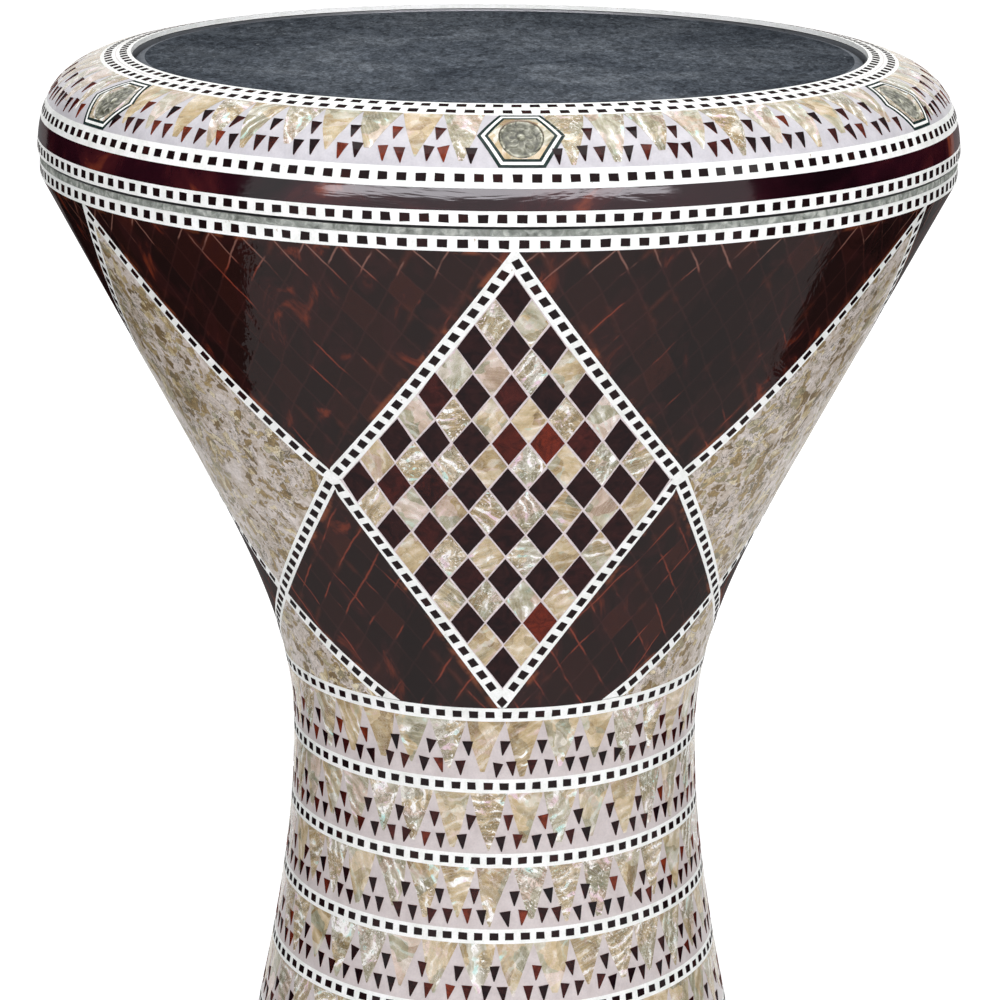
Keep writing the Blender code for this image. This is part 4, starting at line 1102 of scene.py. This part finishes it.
def checker(bag, centre, z_tip, z_side, z_low, half_angle, count):
    """Dark and pearl rhombi that fill a diamond, on grout."""
    rows = 2 * count
    heights = spans(z_tip, z_side, z_low, count + 1, count + 1)

    def lattice(i, j):
        row = i + j
        share = row if row <= count else rows - row
        azimuth = centre + half_angle(heights[row]) * ((i - j) / share if share else 0.0)
        return np.array((azimuth, heights[row]))

    for i in range(count):
        for j in range(count):
            corners = [lattice(i, j), lattice(i, j + 1), lattice(i + 1, j + 1), lattice(i + 1, j)]
            middle = sum(corners) / 4
            material, gap = (PEARL, 0.055) if (i + j) % 2 else (CHECKER_DARK, 0.070)
            jitter = [np.array([rng.normal(0, 0.0012), rng.normal(0, 0.00010)]) for _ in corners]
            corners = [c + (middle - c) * gap + s for c, s in zip(corners, jitter)]
            tile(bag, wall, corners, material, rows=3, columns=3)


def path_with_tip(path_to, z_edge, away):
    """The path whose strip meets its mirror image in a tip TIP wide at z_edge."""

    def beyond_tip(z_tip):
        path = path_to(z_tip)
        turn = float(path.turn(z_edge))
        side = min(turn, CELL - turn) + float(path.half(z_edge, STRIP / 2))
        return side - TIP / 2 / float(wall_radius(z_edge))

    low, high = z_edge, z_edge + away * 2 * STRIP
    for _ in range(16):
        middle = (low + high) / 2
        if beyond_tip(middle) > 0:
            low = middle
        else:
            high = middle
    return path_to(middle)


class BowlPattern:
    """The lines of two rows of diamonds that share their side corners."""

    def __init__(self, z_top, z_side, z_low):
        self.z_low = z_low
        self.upper = path_with_tip(lambda z: Path(z, z_side, CELL, z_top), z_top, -1)
        self.lower = path_with_tip(lambda z: Path(z_side, z, CELL, None, z_low), z_low, 1)
        self.cross = Path(z_side, z_low, 2 * CELL)
        self.z_cross = self.cross.z_of_turn(CELL)


bowl = BowlPattern(Z_BOWL_TOP, Z_SIDE, Z_NECK_TOP + STRIP / 2)

# Half a frame strip, and the same less the overlap of the fields beneath it
HALF = STRIP / 2
UNDER = STRIP / 2 - 0.00015


def strip_pair(bag, path, line, z, limits, turn, flip):
    """A cream strip along a line over height, cut at its limits, and its mirror image about an azimuth."""
    half = path.half(z, HALF)
    left, right = np.maximum(line - half, limits[0]), np.minimum(line + half, limits[1])
    height = np.broadcast_to(z[:, None], (len(z), 4))
    share = np.linspace(0, 1, 4)[None, :]
    for a, b in ((left, right), (2 * flip - right, 2 * flip - left)):
        b = np.maximum(a + 1e-6, b)
        azimuth = a[:, None] * (1 - share) + b[:, None] * share + turn
        bag.slab(wall.place(azimuth, height, STRIP_LIFT), wall.place(azimuth, height, -TILE), CREAM)


def diamond_edge(upper, lower, z_side, width):
    """Half a diamond's breadth by height, as an angle, less the width that a strip takes up."""

    def edge(z):
        high = upper.turn(z) - upper.half(z, width)
        low = CELL - lower.turn(z) - lower.half(z, width)
        return np.maximum(np.where(z >= z_side, high, low), 0.0)

    return edge


def diamond(bag, heights, turn, edge, material, columns=40):
    region(bag, heights, lambda z: turn - edge(z), lambda z: turn + edge(z), material, columns)


def fill_checker(bag, turn, upper, lower, z_high, z_side, z_low, count):
    """The rhombi of a whole diamond, from tip to tip."""
    edge = diamond_edge(upper, lower, z_side, HALF)
    tip = solve(lambda z: float(upper.turn(z) - upper.half(z, HALF)), z_side, z_high)
    low = solve(lambda z: float(CELL - lower.turn(z) - lower.half(z, HALF)), z_low, z_side)
    checker(bag, turn, tip, z_side, low, lambda z: float(edge(np.array(z))), count)


def field_between(bag, path, z_high, z_side, rows, columns, turn, panel):
    """The tortoise field between the upper sides of two diamonds."""
    tip = solve(lambda z: float(CELL - path.turn(z) - path.half(z, UNDER)), z_side, z_high)
    region(
        bag, np.linspace(z_high, tip, rows),
        lambda z: turn + path.turn(z) + path.half(z, UNDER),
        lambda z: turn + 2 * CELL - path.turn(z) - path.half(z, UNDER),
        TORTOISE, columns, panel, turn + CELL,
    )


def make_bowl_frames():
    upper, lower, cross = bowl.upper, bowl.lower, bowl.cross
    z = np.linspace(Z_BOWL_TOP, Z_SIDE, 90)
    bag = Bag()
    for i in range(6):
        turn = 2 * CELL * i
        strip_pair(bag, upper, upper.turn(z), z, (0.0, CELL), turn, CELL)
        strip_on_path(bag, upper, lambda t: turn + t, -0.0011, 0.0015)
        strip_on_path(bag, upper, lambda t: turn - t, 0.0034, 0.0015, True)
    bag.build("bowl_frame_upper", "tiles", "shell")

    bag = Bag()
    z_low = bowl.z_low + 0.0003
    z, z_beside = np.linspace(Z_SIDE, z_low, 90), np.linspace(Z_SIDE, bowl.z_cross, 60)
    for i in range(3):
        turn = 4 * CELL * i
        strip_pair(bag, lower, CELL - lower.turn(z), z, (0.0, CELL), turn, 0.0)
        strip_pair(bag, cross, CELL + cross.turn(z_beside), z_beside, (CELL, 2 * CELL), turn, 0.0)
        for side in (-1, 1):
            strip_on_path(bag, lower, lambda t: turn + side * (CELL - t), 0.0016, 0.0036, side > 0)
            strip_on_path(bag, cross, lambda t: turn + side * (CELL + t), 0.0016, 0.0030, side < 0)
        rhombus(bag, turn, lower.z_of_turn(CELL) - 0.0003, 0.0034)
    bag.build("bowl_frame_lower", "tiles", "shell")

    z = np.linspace(bowl.z_cross, z_low, 50)
    for i in range(3):
        bag = Bag()
        turn = 2 * CELL * (2 * i + 1)
        strip_pair(bag, cross, cross.turn(z) - CELL, z, (0.0, math.inf), turn, 0.0)
        for side in (-1, 1):
            strip_on_path(
                bag, cross, lambda t: turn + side * (t - CELL), 0.0030, 0.0012, side < 0, 2 * CELL, CELL
            )
        rhombus(bag, turn, bowl.z_cross, 0.0030)
        bag.build(f"bowl_frame_legs_{i + 1}", "tiles", "shell")


def make_bowl_fields():
    upper, lower, cross = bowl.upper, bowl.lower, bowl.cross
    z_tip, z_low = Z_BOWL_TOP - 0.001, bowl.z_low
    for i in range(3):
        turn = 4 * CELL * i
        bag = Bag()
        diamond(
            bag, spans(z_tip, Z_SIDE, z_low + 0.001, 60, 60), turn,
            diamond_edge(upper, lower, Z_SIDE, UNDER), GROUT,
        )
        fill_checker(bag, turn, upper, lower, Z_BOWL_TOP, Z_SIDE, z_low, 9)
        bag.build(f"bowl_checker_diamond_{i + 1}", "tiles", "shell")

        turn = 2 * CELL * (2 * i + 1)
        bag = Bag()
        heights = spans(z_tip, Z_SIDE, bowl.z_cross, 60, 50)
        diamond(bag, heights, turn, diamond_edge(upper, cross, Z_SIDE, UNDER), CRUSHED)
        bag.build(f"bowl_pearl_diamond_{i + 1}", "skin", "shell")

        def foot_edge(z):
            return np.maximum(cross.turn(z) - CELL - cross.half(z, UNDER), 0.0)

        bag = Bag()
        diamond(bag, np.linspace(bowl.z_cross, z_low, 36), turn, foot_edge, CRUSHED, 30)
        bag.build(f"bowl_pearl_triangle_{i + 1}", "skin", "shell")

    for i in range(6):
        bag = Bag()
        field_between(bag, upper, Z_BOWL_TOP, Z_SIDE, 70, 60, 2 * CELL * i, 0.11 * i + 0.07)
        bag.build(f"bowl_tortoise_upper_{i + 1}", "skin", "shell")

    def kite_left(z):
        return CELL - lower.turn(z) + lower.half(z, UNDER)

    def kite_right(z):
        turned = cross.turn(z)
        return np.minimum(CELL + turned, 3 * CELL - turned) - cross.half(z, UNDER)

    peak = solve(lambda z: float(kite_right(z) - kite_left(z)), bowl.z_cross, Z_SIDE)
    heights = spans(peak, bowl.z_cross, z_low, 40, 30)
    for i in range(3):
        turn = 4 * CELL * i
        for j, side in enumerate((1, -1)):
            left, right = kite_left, kite_right
            if side < 0:
                left, right = (lambda z: -kite_right(z)), (lambda z: -kite_left(z))
            bag = Bag()
            region(
                bag, heights, lambda z: turn + left(z), lambda z: turn + right(z),
                TORTOISE, 36, 0.13 * i + 0.4 + 0.05 * j, turn + side * CELL,
            )
            bag.build(f"bowl_tortoise_lower_{2 * i + j + 1}", "skin", "shell")


# Neck and foot


# Squares of each strip from the top, and the count and phase of each row's triads of triangles
NECK_COUNTS = (84, 82, 85, 89, 92, 96)
TRIADS = ((36, 0.95), (36, 1.65), (37, 3.3), (37, -1.05), (39, 2.0))


def make_neck():
    levels = [Z_NECK_TOP - BAND_PITCH * k for k in range(6)]
    strip_piece("neck_top_strip", "shell", wall, levels[0] + HALF, levels[0] - HALF, NECK_COUNTS[0], 0.3)

    bag = Bag()
    z = np.linspace(levels[0] - HALF + 0.0002, levels[5] + HALF - 0.0002, 48)
    turned_band(bag, wall, z, BASE, RESIN, 240)
    for k, (count, phase) in enumerate(TRIADS):
        pitch = 2 * math.pi / count
        triads = [math.radians(phase) + pitch * i for i in range(count)]
        teeth = [a + pitch / 2 for a in triads]
        wide = pitch * float(wall_radius(levels[k] - HALF)) * 0.99
        tooth_row(bag, wall, levels[k] - HALF, levels[k + 1] + HALF, triads, teeth, wide)
    for k in range(1, 5):
        turned_strip(bag, wall, levels[k] + HALF, levels[k] - HALF, NECK_COUNTS[k], 0.2 * k)
    bag.build("neck_inlay", "tiles", "shell")

    strip_piece("neck_low_strip", "shell", wall, levels[5] + HALF, levels[5] - HALF, NECK_COUNTS[5], 0.6)


FOOT_SIDE = 0.062


def make_foot():
    """The foot mirrors the bowl: checkered and crushed pearl diamonds in turn, in tortoise."""
    z_high, z_low = FOOT_HEIGHT - HALF, FOOT_LIP_HEIGHT + SEAT_GAP + STRIP
    upper, lower = Path(z_high, FOOT_SIDE, CELL), Path(FOOT_SIDE, z_low, CELL)
    above, below = np.linspace(z_high, FOOT_SIDE, 60), np.linspace(FOOT_SIDE, z_low, 60)
    edge = diamond_edge(upper, lower, FOOT_SIDE, UNDER)
    base = solve(lambda z: float(lower.turn(z) - lower.half(z, UNDER)), z_low, FOOT_SIDE)
    bag = Bag()
    for i in range(6):
        turn = 2 * CELL * i
        strip_pair(bag, upper, upper.turn(above), above, (0.0, CELL), turn, CELL)
        strip_pair(bag, lower, CELL - lower.turn(below), below, (0.0, CELL), turn, 0.0)
        for side in (-1, 1):
            strip_on_path(bag, upper, lambda t: turn + side * t, 0.0034, 0.0036, side < 0)
            strip_on_path(bag, lower, lambda t: turn + side * (CELL - t), 0.0036, 0.0034, side > 0)
        heights = spans(z_high - 0.001, FOOT_SIDE, z_low + 0.001, 40, 40)
        diamond(bag, heights, turn, edge, CRUSHED if i % 2 else GROUT, 36)
        if i % 2 == 0:
            fill_checker(bag, turn, upper, lower, z_high, FOOT_SIDE, z_low, 7)
        field_between(bag, upper, z_high, FOOT_SIDE, 40, 40, turn, 0.21 + 0.1 * i)
        region(
            bag, np.linspace(base, z_low, 40),
            lambda z: turn + CELL - lower.turn(z) + lower.half(z, UNDER),
            lambda z: turn + CELL + lower.turn(z) - lower.half(z, UNDER),
            TORTOISE, 50, 0.63 + 0.1 * i, turn + CELL,
        )
    bag.build("foot_inlay", "tiles", "shell")
    strip_piece("foot_strip", "shell", wall, z_low, FOOT_LIP_HEIGHT + 0.0001, 134, 0.25)


# Film and metal


SEGMENTS = 240


def spun(name, section, materials, choose, cutters=(), joined=(), smooth_angle=40):
    """A closed section of (radius, height) points spun round the axis, with cuts and joined bosses."""
    angle = round_angles(SEGMENTS)
    radius, height = [column[:, None] + 0 * angle for column in np.array(section, float).T]
    points = np.stack([radius * np.cos(angle), radius * np.sin(angle), height], -1).reshape(-1, 3)
    index = np.arange(len(points)).reshape(len(section), SEGMENTS)
    below = np.roll(index, -1, axis=0)
    faces = np.stack([index, below, np.roll(below, -1, axis=1), np.roll(index, -1, axis=1)], -1)
    mesh = bpy.data.meshes.new(name)
    mesh.from_pydata(points.tolist(), [], faces.reshape(-1, 4).tolist())
    work = bmesh.new()
    work.from_mesh(mesh)
    bmesh.ops.remove_doubles(work, verts=work.verts, dist=1e-7)
    bmesh.ops.recalc_face_normals(work, faces=work.faces)
    work.to_mesh(mesh)
    work.free()
    helper = add_object(name + "_blank", mesh)
    others = []
    for operation, source in [("UNION", m) for m in joined] + [("DIFFERENCE", m) for m in cutters]:
        others.append(add_object(name + "_tool", source))
        change = helper.modifiers.new(operation.lower(), "BOOLEAN")
        change.operation = operation
        change.object = others[-1]
        change.solver = "EXACT"
    bpy.context.view_layer.update()
    graph = bpy.context.evaluated_depsgraph_get()
    final = bpy.data.meshes.new_from_object(helper.evaluated_get(graph))
    final.name = name
    for other in [helper, *others]:
        bpy.data.objects.remove(other)
    final.materials.clear()
    for material in materials:
        final.materials.append(material)
    for face in final.polygons:
        face.material_index = choose(face.center, face.normal)
    final.shade_smooth()
    final.set_sharp_from_angle(angle=math.radians(smooth_angle))
    return final


def bolt_place(index, z):
    angle = 2 * math.pi * (index + 0.5) / BOLT_COUNT
    return Vector((BOLT_CIRCLE * math.sin(angle), -BOLT_CIRCLE * math.cos(angle), z))


def posts(radius, z_low, z_high):
    """Upright cylinders on the bolt circle."""
    mesh = bmesh.new()
    for i in range(BOLT_COUNT):
        matrix = Matrix.Translation(bolt_place(i, (z_low + z_high) / 2))
        bmesh.ops.create_cone(
            mesh, cap_ends=True, segments=32, radius1=radius, radius2=radius,
            depth=z_high - z_low, matrix=matrix,
        )
    made = bpy.data.meshes.new("posts")
    mesh.to_mesh(made)
    mesh.free()
    return made


def sunk(z, depth):
    """Points of the wall's section, a depth below its outside."""
    return [(float(wall_radius(h) - depth * np.hypot(1, wall_slope(h))), float(h)) for h in np.atleast_1d(z)]


def crown(radius, count=10):
    """A quarter round over the collar's edge."""
    middle_r, middle_z = COLLAR_RADIUS - CROWN_ROUNDING, Z_FILM_TOP - FILM_LIFT - CROWN_ROUNDING
    return [
        (middle_r + radius * math.sin(a), middle_z + radius * math.cos(a))
        for a in np.linspace(0, math.pi / 2, count)
    ]


HOLE_RADIUS = 0.0034
THREAD_HOLE_RADIUS = 0.0033
LIP_RADIUS = BOWL_RADIUS - 0.0001
FOOT_EDGE = FOOT_RADIUS - 0.0001
Z_LIP_LOW = Z_STRIP_TOP + 0.0001


def make_shell():
    section = [(BOWL_RADIUS - 0.0003, Z_SHELL_TOP), (LIP_RADIUS, Z_SHELL_TOP - 0.0003)]
    section += [(LIP_RADIUS, Z_LIP_LOW), (sunk(Z_BOWL_TOP, METAL_DEPTH)[0][0], Z_LIP_LOW)]
    section += sunk(np.linspace(Z_BOWL_TOP, FOOT_LIP_HEIGHT + 0.0002, 90), 0.0016)
    section += [(FOOT_EDGE, FOOT_LIP_HEIGHT), (FOOT_EDGE, 0.0004), (FOOT_RADIUS - 0.0005, 0.0)]
    inside = sunk(np.linspace(FOOT_LIP_HEIGHT, Z_FLANGE_LOW, 80), METAL_DEPTH + SHELL_WALL)
    section += [(inside[0][0] + 0.0006, 0.0), (inside[0][0], 0.0006), *inside]
    collar, arc = COLLAR_RADIUS - COLLAR_WALL, crown(CROWN_ROUNDING)
    section += [(collar, Z_FLANGE_LOW), (collar, arc[0][1]), *arc, (COLLAR_RADIUS, Z_SHELL_TOP)]

    def choose(centre, normal):
        out = math.hypot(centre.x, centre.y)
        if centre.z > Z_STRIP_TOP - 0.0005 and out > BOWL_RADIUS - 0.004:
            return 1
        return 2 if centre.z < FOOT_LIP_HEIGHT + 0.0008 or centre.z > Z_SHELL_TOP - 0.0005 else 0

    holes = posts(HOLE_RADIUS, Z_FLANGE_LOW - 0.002, Z_SHELL_TOP + 0.002)
    mesh = spun("shell_casting", section, [CAST, MORTAR, TURNED], choose, cutters=[holes])
    finish_piece("shell_casting", mesh, "shell", ["shell"])


SKIRT = 0.012
MARGIN_RADIUS = 0.1092


def make_film():
    """The film with its skirt, and a faint pale margin where it bends over the collar."""
    z_skirt, z_below = Z_FILM_TOP - SKIRT, Z_FILM_TOP - FILM_THICKNESS
    section = [(0.0, Z_FILM_TOP)] + [(r, Z_FILM_TOP) for r in np.linspace(0.004, 0.1065, 26)]
    section += [(0.1086, Z_FILM_TOP), *crown(CROWN_ROUNDING + FILM_LIFT, 8)]
    section += [(FILM_RADIUS, z_skirt), (FILM_RADIUS - FILM_THICKNESS, z_skirt)]
    section += reversed(crown(CROWN_ROUNDING + SEAT_GAP, 8))
    section += [(COLLAR_RADIUS - CROWN_ROUNDING - 0.004, z_below), (0.0, z_below)]

    def choose(centre, normal):
        return 1 if math.hypot(centre.x, centre.y) > MARGIN_RADIUS and normal.z > -0.5 else 0

    mesh = spun("head_film_skin", section, [FILM, MARGIN], choose, smooth_angle=60)
    finish_piece("head_film_skin", mesh, "shell", ["head_film"])


def make_ring():
    ways = np.linspace(way_edge, rim.length, 40)
    (radius, z), (nr, nz) = rim.read(ways, rim.point), rim.read(ways, rim.normal)
    shoulder = [(float(r - 0.0016 * a), float(h - 0.0016 * b)) for r, h, a, b in zip(radius, z, nr, nz)]
    groove_outer, groove_inner = RIM_RADIUS - METAL_DEPTH - 0.0045, WEB_INNER + 0.003
    roof = Z_RING_LEDGE
    section = [(OPENING, Z_TOP - 0.0018), *shoulder, (groove_outer, Z_RIM_LOW)]
    section += [(groove_outer, roof - 0.011), (groove_outer - 0.0012, roof - 0.0075)]
    section += [(groove_outer - 0.009, roof - 0.00225), (groove_inner, roof - 0.00225)]
    section += [(groove_inner, roof - 0.006), (WEB_INNER, roof - 0.006), (WEB_INNER, roof), (OPENING, roof)]
    bosses = posts(BOSS_RADIUS, Z_RIM_LOW, roof - 0.0011)
    holes = posts(THREAD_HOLE_RADIUS, Z_RIM_LOW - 0.0055, Z_RIM_LOW + 0.017)

    def choose(centre, normal):
        return 1 if math.hypot(centre.x, centre.y) < OPENING + 0.0004 else 0

    mesh = spun("tension_ring_casting", section, [CAST, TURNED], choose, [holes], [bosses])
    finish_piece("tension_ring_casting", mesh, "rim", ["tension_ring"])


def make_hoop():
    """A ring of rectangular section with broken edges, under the tension ring's ledge."""
    top = Z_RING_LEDGE - SEAT_GAP
    low = top - HOOP_HEIGHT
    off = 0.0004
    section = [(HOOP_INNER, top - off), (HOOP_INNER + off, top), (HOOP_OUTER - off, top)]
    section += [(HOOP_OUTER, top - off), (HOOP_OUTER, low + off), (HOOP_OUTER - off, low)]
    section += [(HOOP_INNER + off, low), (HOOP_INNER, low + off)]
    mesh = spun("head_hoop_ring", section, [TURNED], lambda centre, normal: 0)
    finish_piece("head_hoop_ring", mesh, "rim", ["head_hoop"])


SOCKET = 0.005
KNURL_RADIUS, KNURL_DEPTH, KNURL_RIDGES = 0.00490, 0.00010, 24
THREAD_PITCH, THREAD_CORE, THREAD_DEPTH = 0.001, 0.00255, 0.00042


def make_bolt(index):
    """A socket-head screw with a knurled head, a hexagonal socket and a rolled thread."""
    turn = round_angles(96)
    socket = SOCKET / 2 / np.cos((turn + math.pi / 6) % (math.pi / 3) - math.pi / 6)
    knurl = KNURL_RADIUS + KNURL_DEPTH * np.sign(np.sin(turn * KNURL_RIDGES))
    rings = [(0.0004, -0.0030), (socket, -0.0031), (socket, -0.0058), (socket + 0.0002, -0.0060)]
    rings += [(0.0044, -0.0060), (knurl - 0.0002, -0.0055), (knurl, -0.0053), (knurl, -0.0010)]
    rings += [(0.0048, -0.0006), (0.0047, 0.0), (0.00285, 0.0)]
    for z in np.arange(0.0006, 0.0218, 0.00025):
        wave = (z / THREAD_PITCH - turn / (2 * math.pi)) % 1
        rings.append((THREAD_CORE + THREAD_DEPTH * np.abs(2 * wave - 1), z))
    rings += [(0.0022, 0.0225), (0.0004, 0.0226)]
    points = [np.stack([r * np.cos(turn), r * np.sin(turn), z + 0 * turn], -1) for r, z in reversed(rings)]
    bag = Bag()
    bag.grid(np.stack(points) + np.array(bolt_place(index, Z_FLANGE_LOW - SEAT_GAP)), STEEL, loop=True)
    made = bag.build(f"tuning_bolt_{index + 1}", "screw", f"bolt_{index + 1}")
    made.data.set_sharp_from_angle(angle=math.radians(35))


# Floor, light and camera


def flat_mesh(name, points, faces, material):
    mesh = bpy.data.meshes.new(name)
    mesh.from_pydata(points, [], faces)
    mesh.materials.append(material)
    return mesh


FLOOR_SIZE = 6.0


def make_floor():
    """A pale floor whose glow, for what sees it, grows outward until it meets the white world."""
    look = Look("pale_floor", roughness=0.9, specular=0.0)
    inputs = {"Value": look.vector("LENGTH", look.place), "From Min": 0.35, "From Max": 1.6}
    inputs.update({"To Min": 0.46, "To Max": 0.86})
    glow = look.node("ShaderNodeMapRange", inputs, "Result", interpolation_type="SMOOTHSTEP")
    look.feed(look.shader.inputs["Emission Color"], (1, 1, 1, 1))
    look.feed(look.shader.inputs["Emission Strength"], look.seen() * glow)
    corners = [(x * FLOOR_SIZE, y * FLOOR_SIZE, 0) for x, y in ((-1, -1), (1, -1), (1, 1), (-1, 1))]
    mesh = flat_mesh("floor", corners, [(0, 1, 2, 3)], look.set(colour=(0.80, 0.80, 0.80, 1)))
    floor = add_object("floor", mesh, (0, 0, -0.0005))


def make_world():
    """White where it is seen, and dimmer as a light."""
    world = bpy.data.worlds.new("studio")
    bpy.context.scene.world = world
    world.use_nodes = True
    nodes = Nodes(world.node_tree)
    background = world.node_tree.nodes["Background"]
    background.inputs["Color"].default_value = (1, 1, 1, 1)
    level = nodes.node("ShaderNodeMapRange", {"Value": nodes.seen(), "To Min": 0.30, "To Max": 1.0}, "Result")
    nodes.feed(background.inputs["Strength"], level)


CARD_FRONT, CARD_BACK = -0.6, 1.4
CARD_LIFT = 0.0003


def add_card(name, x_near, x_far, y_near, y_far, height):
    """A black card on the floor and up beside it, which shows in reflections only."""
    low = CARD_LIFT
    points = [(x_near, y_near, low), (x_far, y_near, low), (x_far, y_far, low), (x_near, y_far, low)]
    points += [(x_far, CARD_FRONT, z) for z in (low, height)] + [(x_far, CARD_BACK, z) for z in (height, low)]
    black = Look(name, roughness=1.0, specular=0.0).set(colour=(0.01, 0.01, 0.01, 1))
    card = add_object(name, flat_mesh(name, points, [(0, 1, 2, 3), (4, 5, 6, 7)], black))
    card.visible_camera = card.visible_diffuse = card.visible_shadow = False
    card.visible_transmission = card.visible_volume_scatter = False


def add_lamp(name, place, target_height, width, height, power, colour=(1, 1, 1)):
    """A lamp that shines at a height on the drum's axis."""
    data = bpy.data.lights.new(name, "AREA")
    data.shape = "RECTANGLE"
    data.size, data.size_y = width, height
    data.energy = power
    data.color = colour
    aim = Vector((0, 0, target_height)) - Vector(place)
    add_object(name, data, place).rotation_euler = aim.to_track_quat("-Z", "Y").to_euler()


LENS = 118.12
CAMERA_PLACE = (-0.00006, -1.01266, 0.57525)
PITCH, YAW, ROLL = 0.269636, 0.0012397, 0.0079835


def make_camera():
    """The view that was fitted to the picture's ellipses."""
    data = bpy.data.cameras.new("photo_view")
    data.sensor_width = 36.0
    data.sensor_fit = "HORIZONTAL"
    data.lens = LENS
    data.clip_start = 0.05
    data.clip_end = 50.0
    camera = add_object("photo_view", data)
    level = math.cos(PITCH)
    forward = Vector((math.sin(YAW) * level, math.cos(YAW) * level, -math.sin(PITCH)))
    right = forward.cross(Vector((0, 0, 1))).normalized()
    up = right.cross(forward)
    tilted = right * math.cos(ROLL) + up * math.sin(ROLL)
    upright = up * math.cos(ROLL) - right * math.sin(ROLL)
    turned = Matrix((tilted, upright, -forward)).transposed().to_4x4()
    camera.matrix_world = Matrix.Translation(CAMERA_PLACE) @ turned
    bpy.context.scene.camera = camera


make_rim_bands()
for number in range(6):
    make_medallion(number)
strip_piece("bowl_top_strip", "shell", wall, Z_STRIP_TOP, Z_BOWL_TOP, 160, 0.45)
make_bowl_frames()
make_bowl_fields()
make_neck()
make_foot()
make_shell()
make_film()
make_ring()
make_hoop()
for number in range(BOLT_COUNT):
    make_bolt(number)
make_floor()
make_world()
add_card("left_card", -0.40, -1.0, -0.20, 1.4, 1.0)
add_card("right_card", 0.44, 1.0, 0.1, 0.9, 0.8)
add_lamp("key", (0.0, -1.30, 0.74), 0.4, 2.2, 0.20, 12, (0.96, 0.94, 1.0))
add_lamp("front", (0.0, -1.25, 1.55), 0.4, 1.7, 0.35, 3.0)
add_lamp("left", (-1.6, -0.7, 1.6), 0.3, 0.8, 0.8, 1.2)
add_lamp("right", (1.6, -0.7, 1.6), 0.3, 0.8, 0.8, 7)
add_lamp("top", (0.0, -0.1, 1.9), 0.3, 1.4, 1.2, 16)
make_camera()
bpy.context.scene.view_settings.view_transform = "Standard"
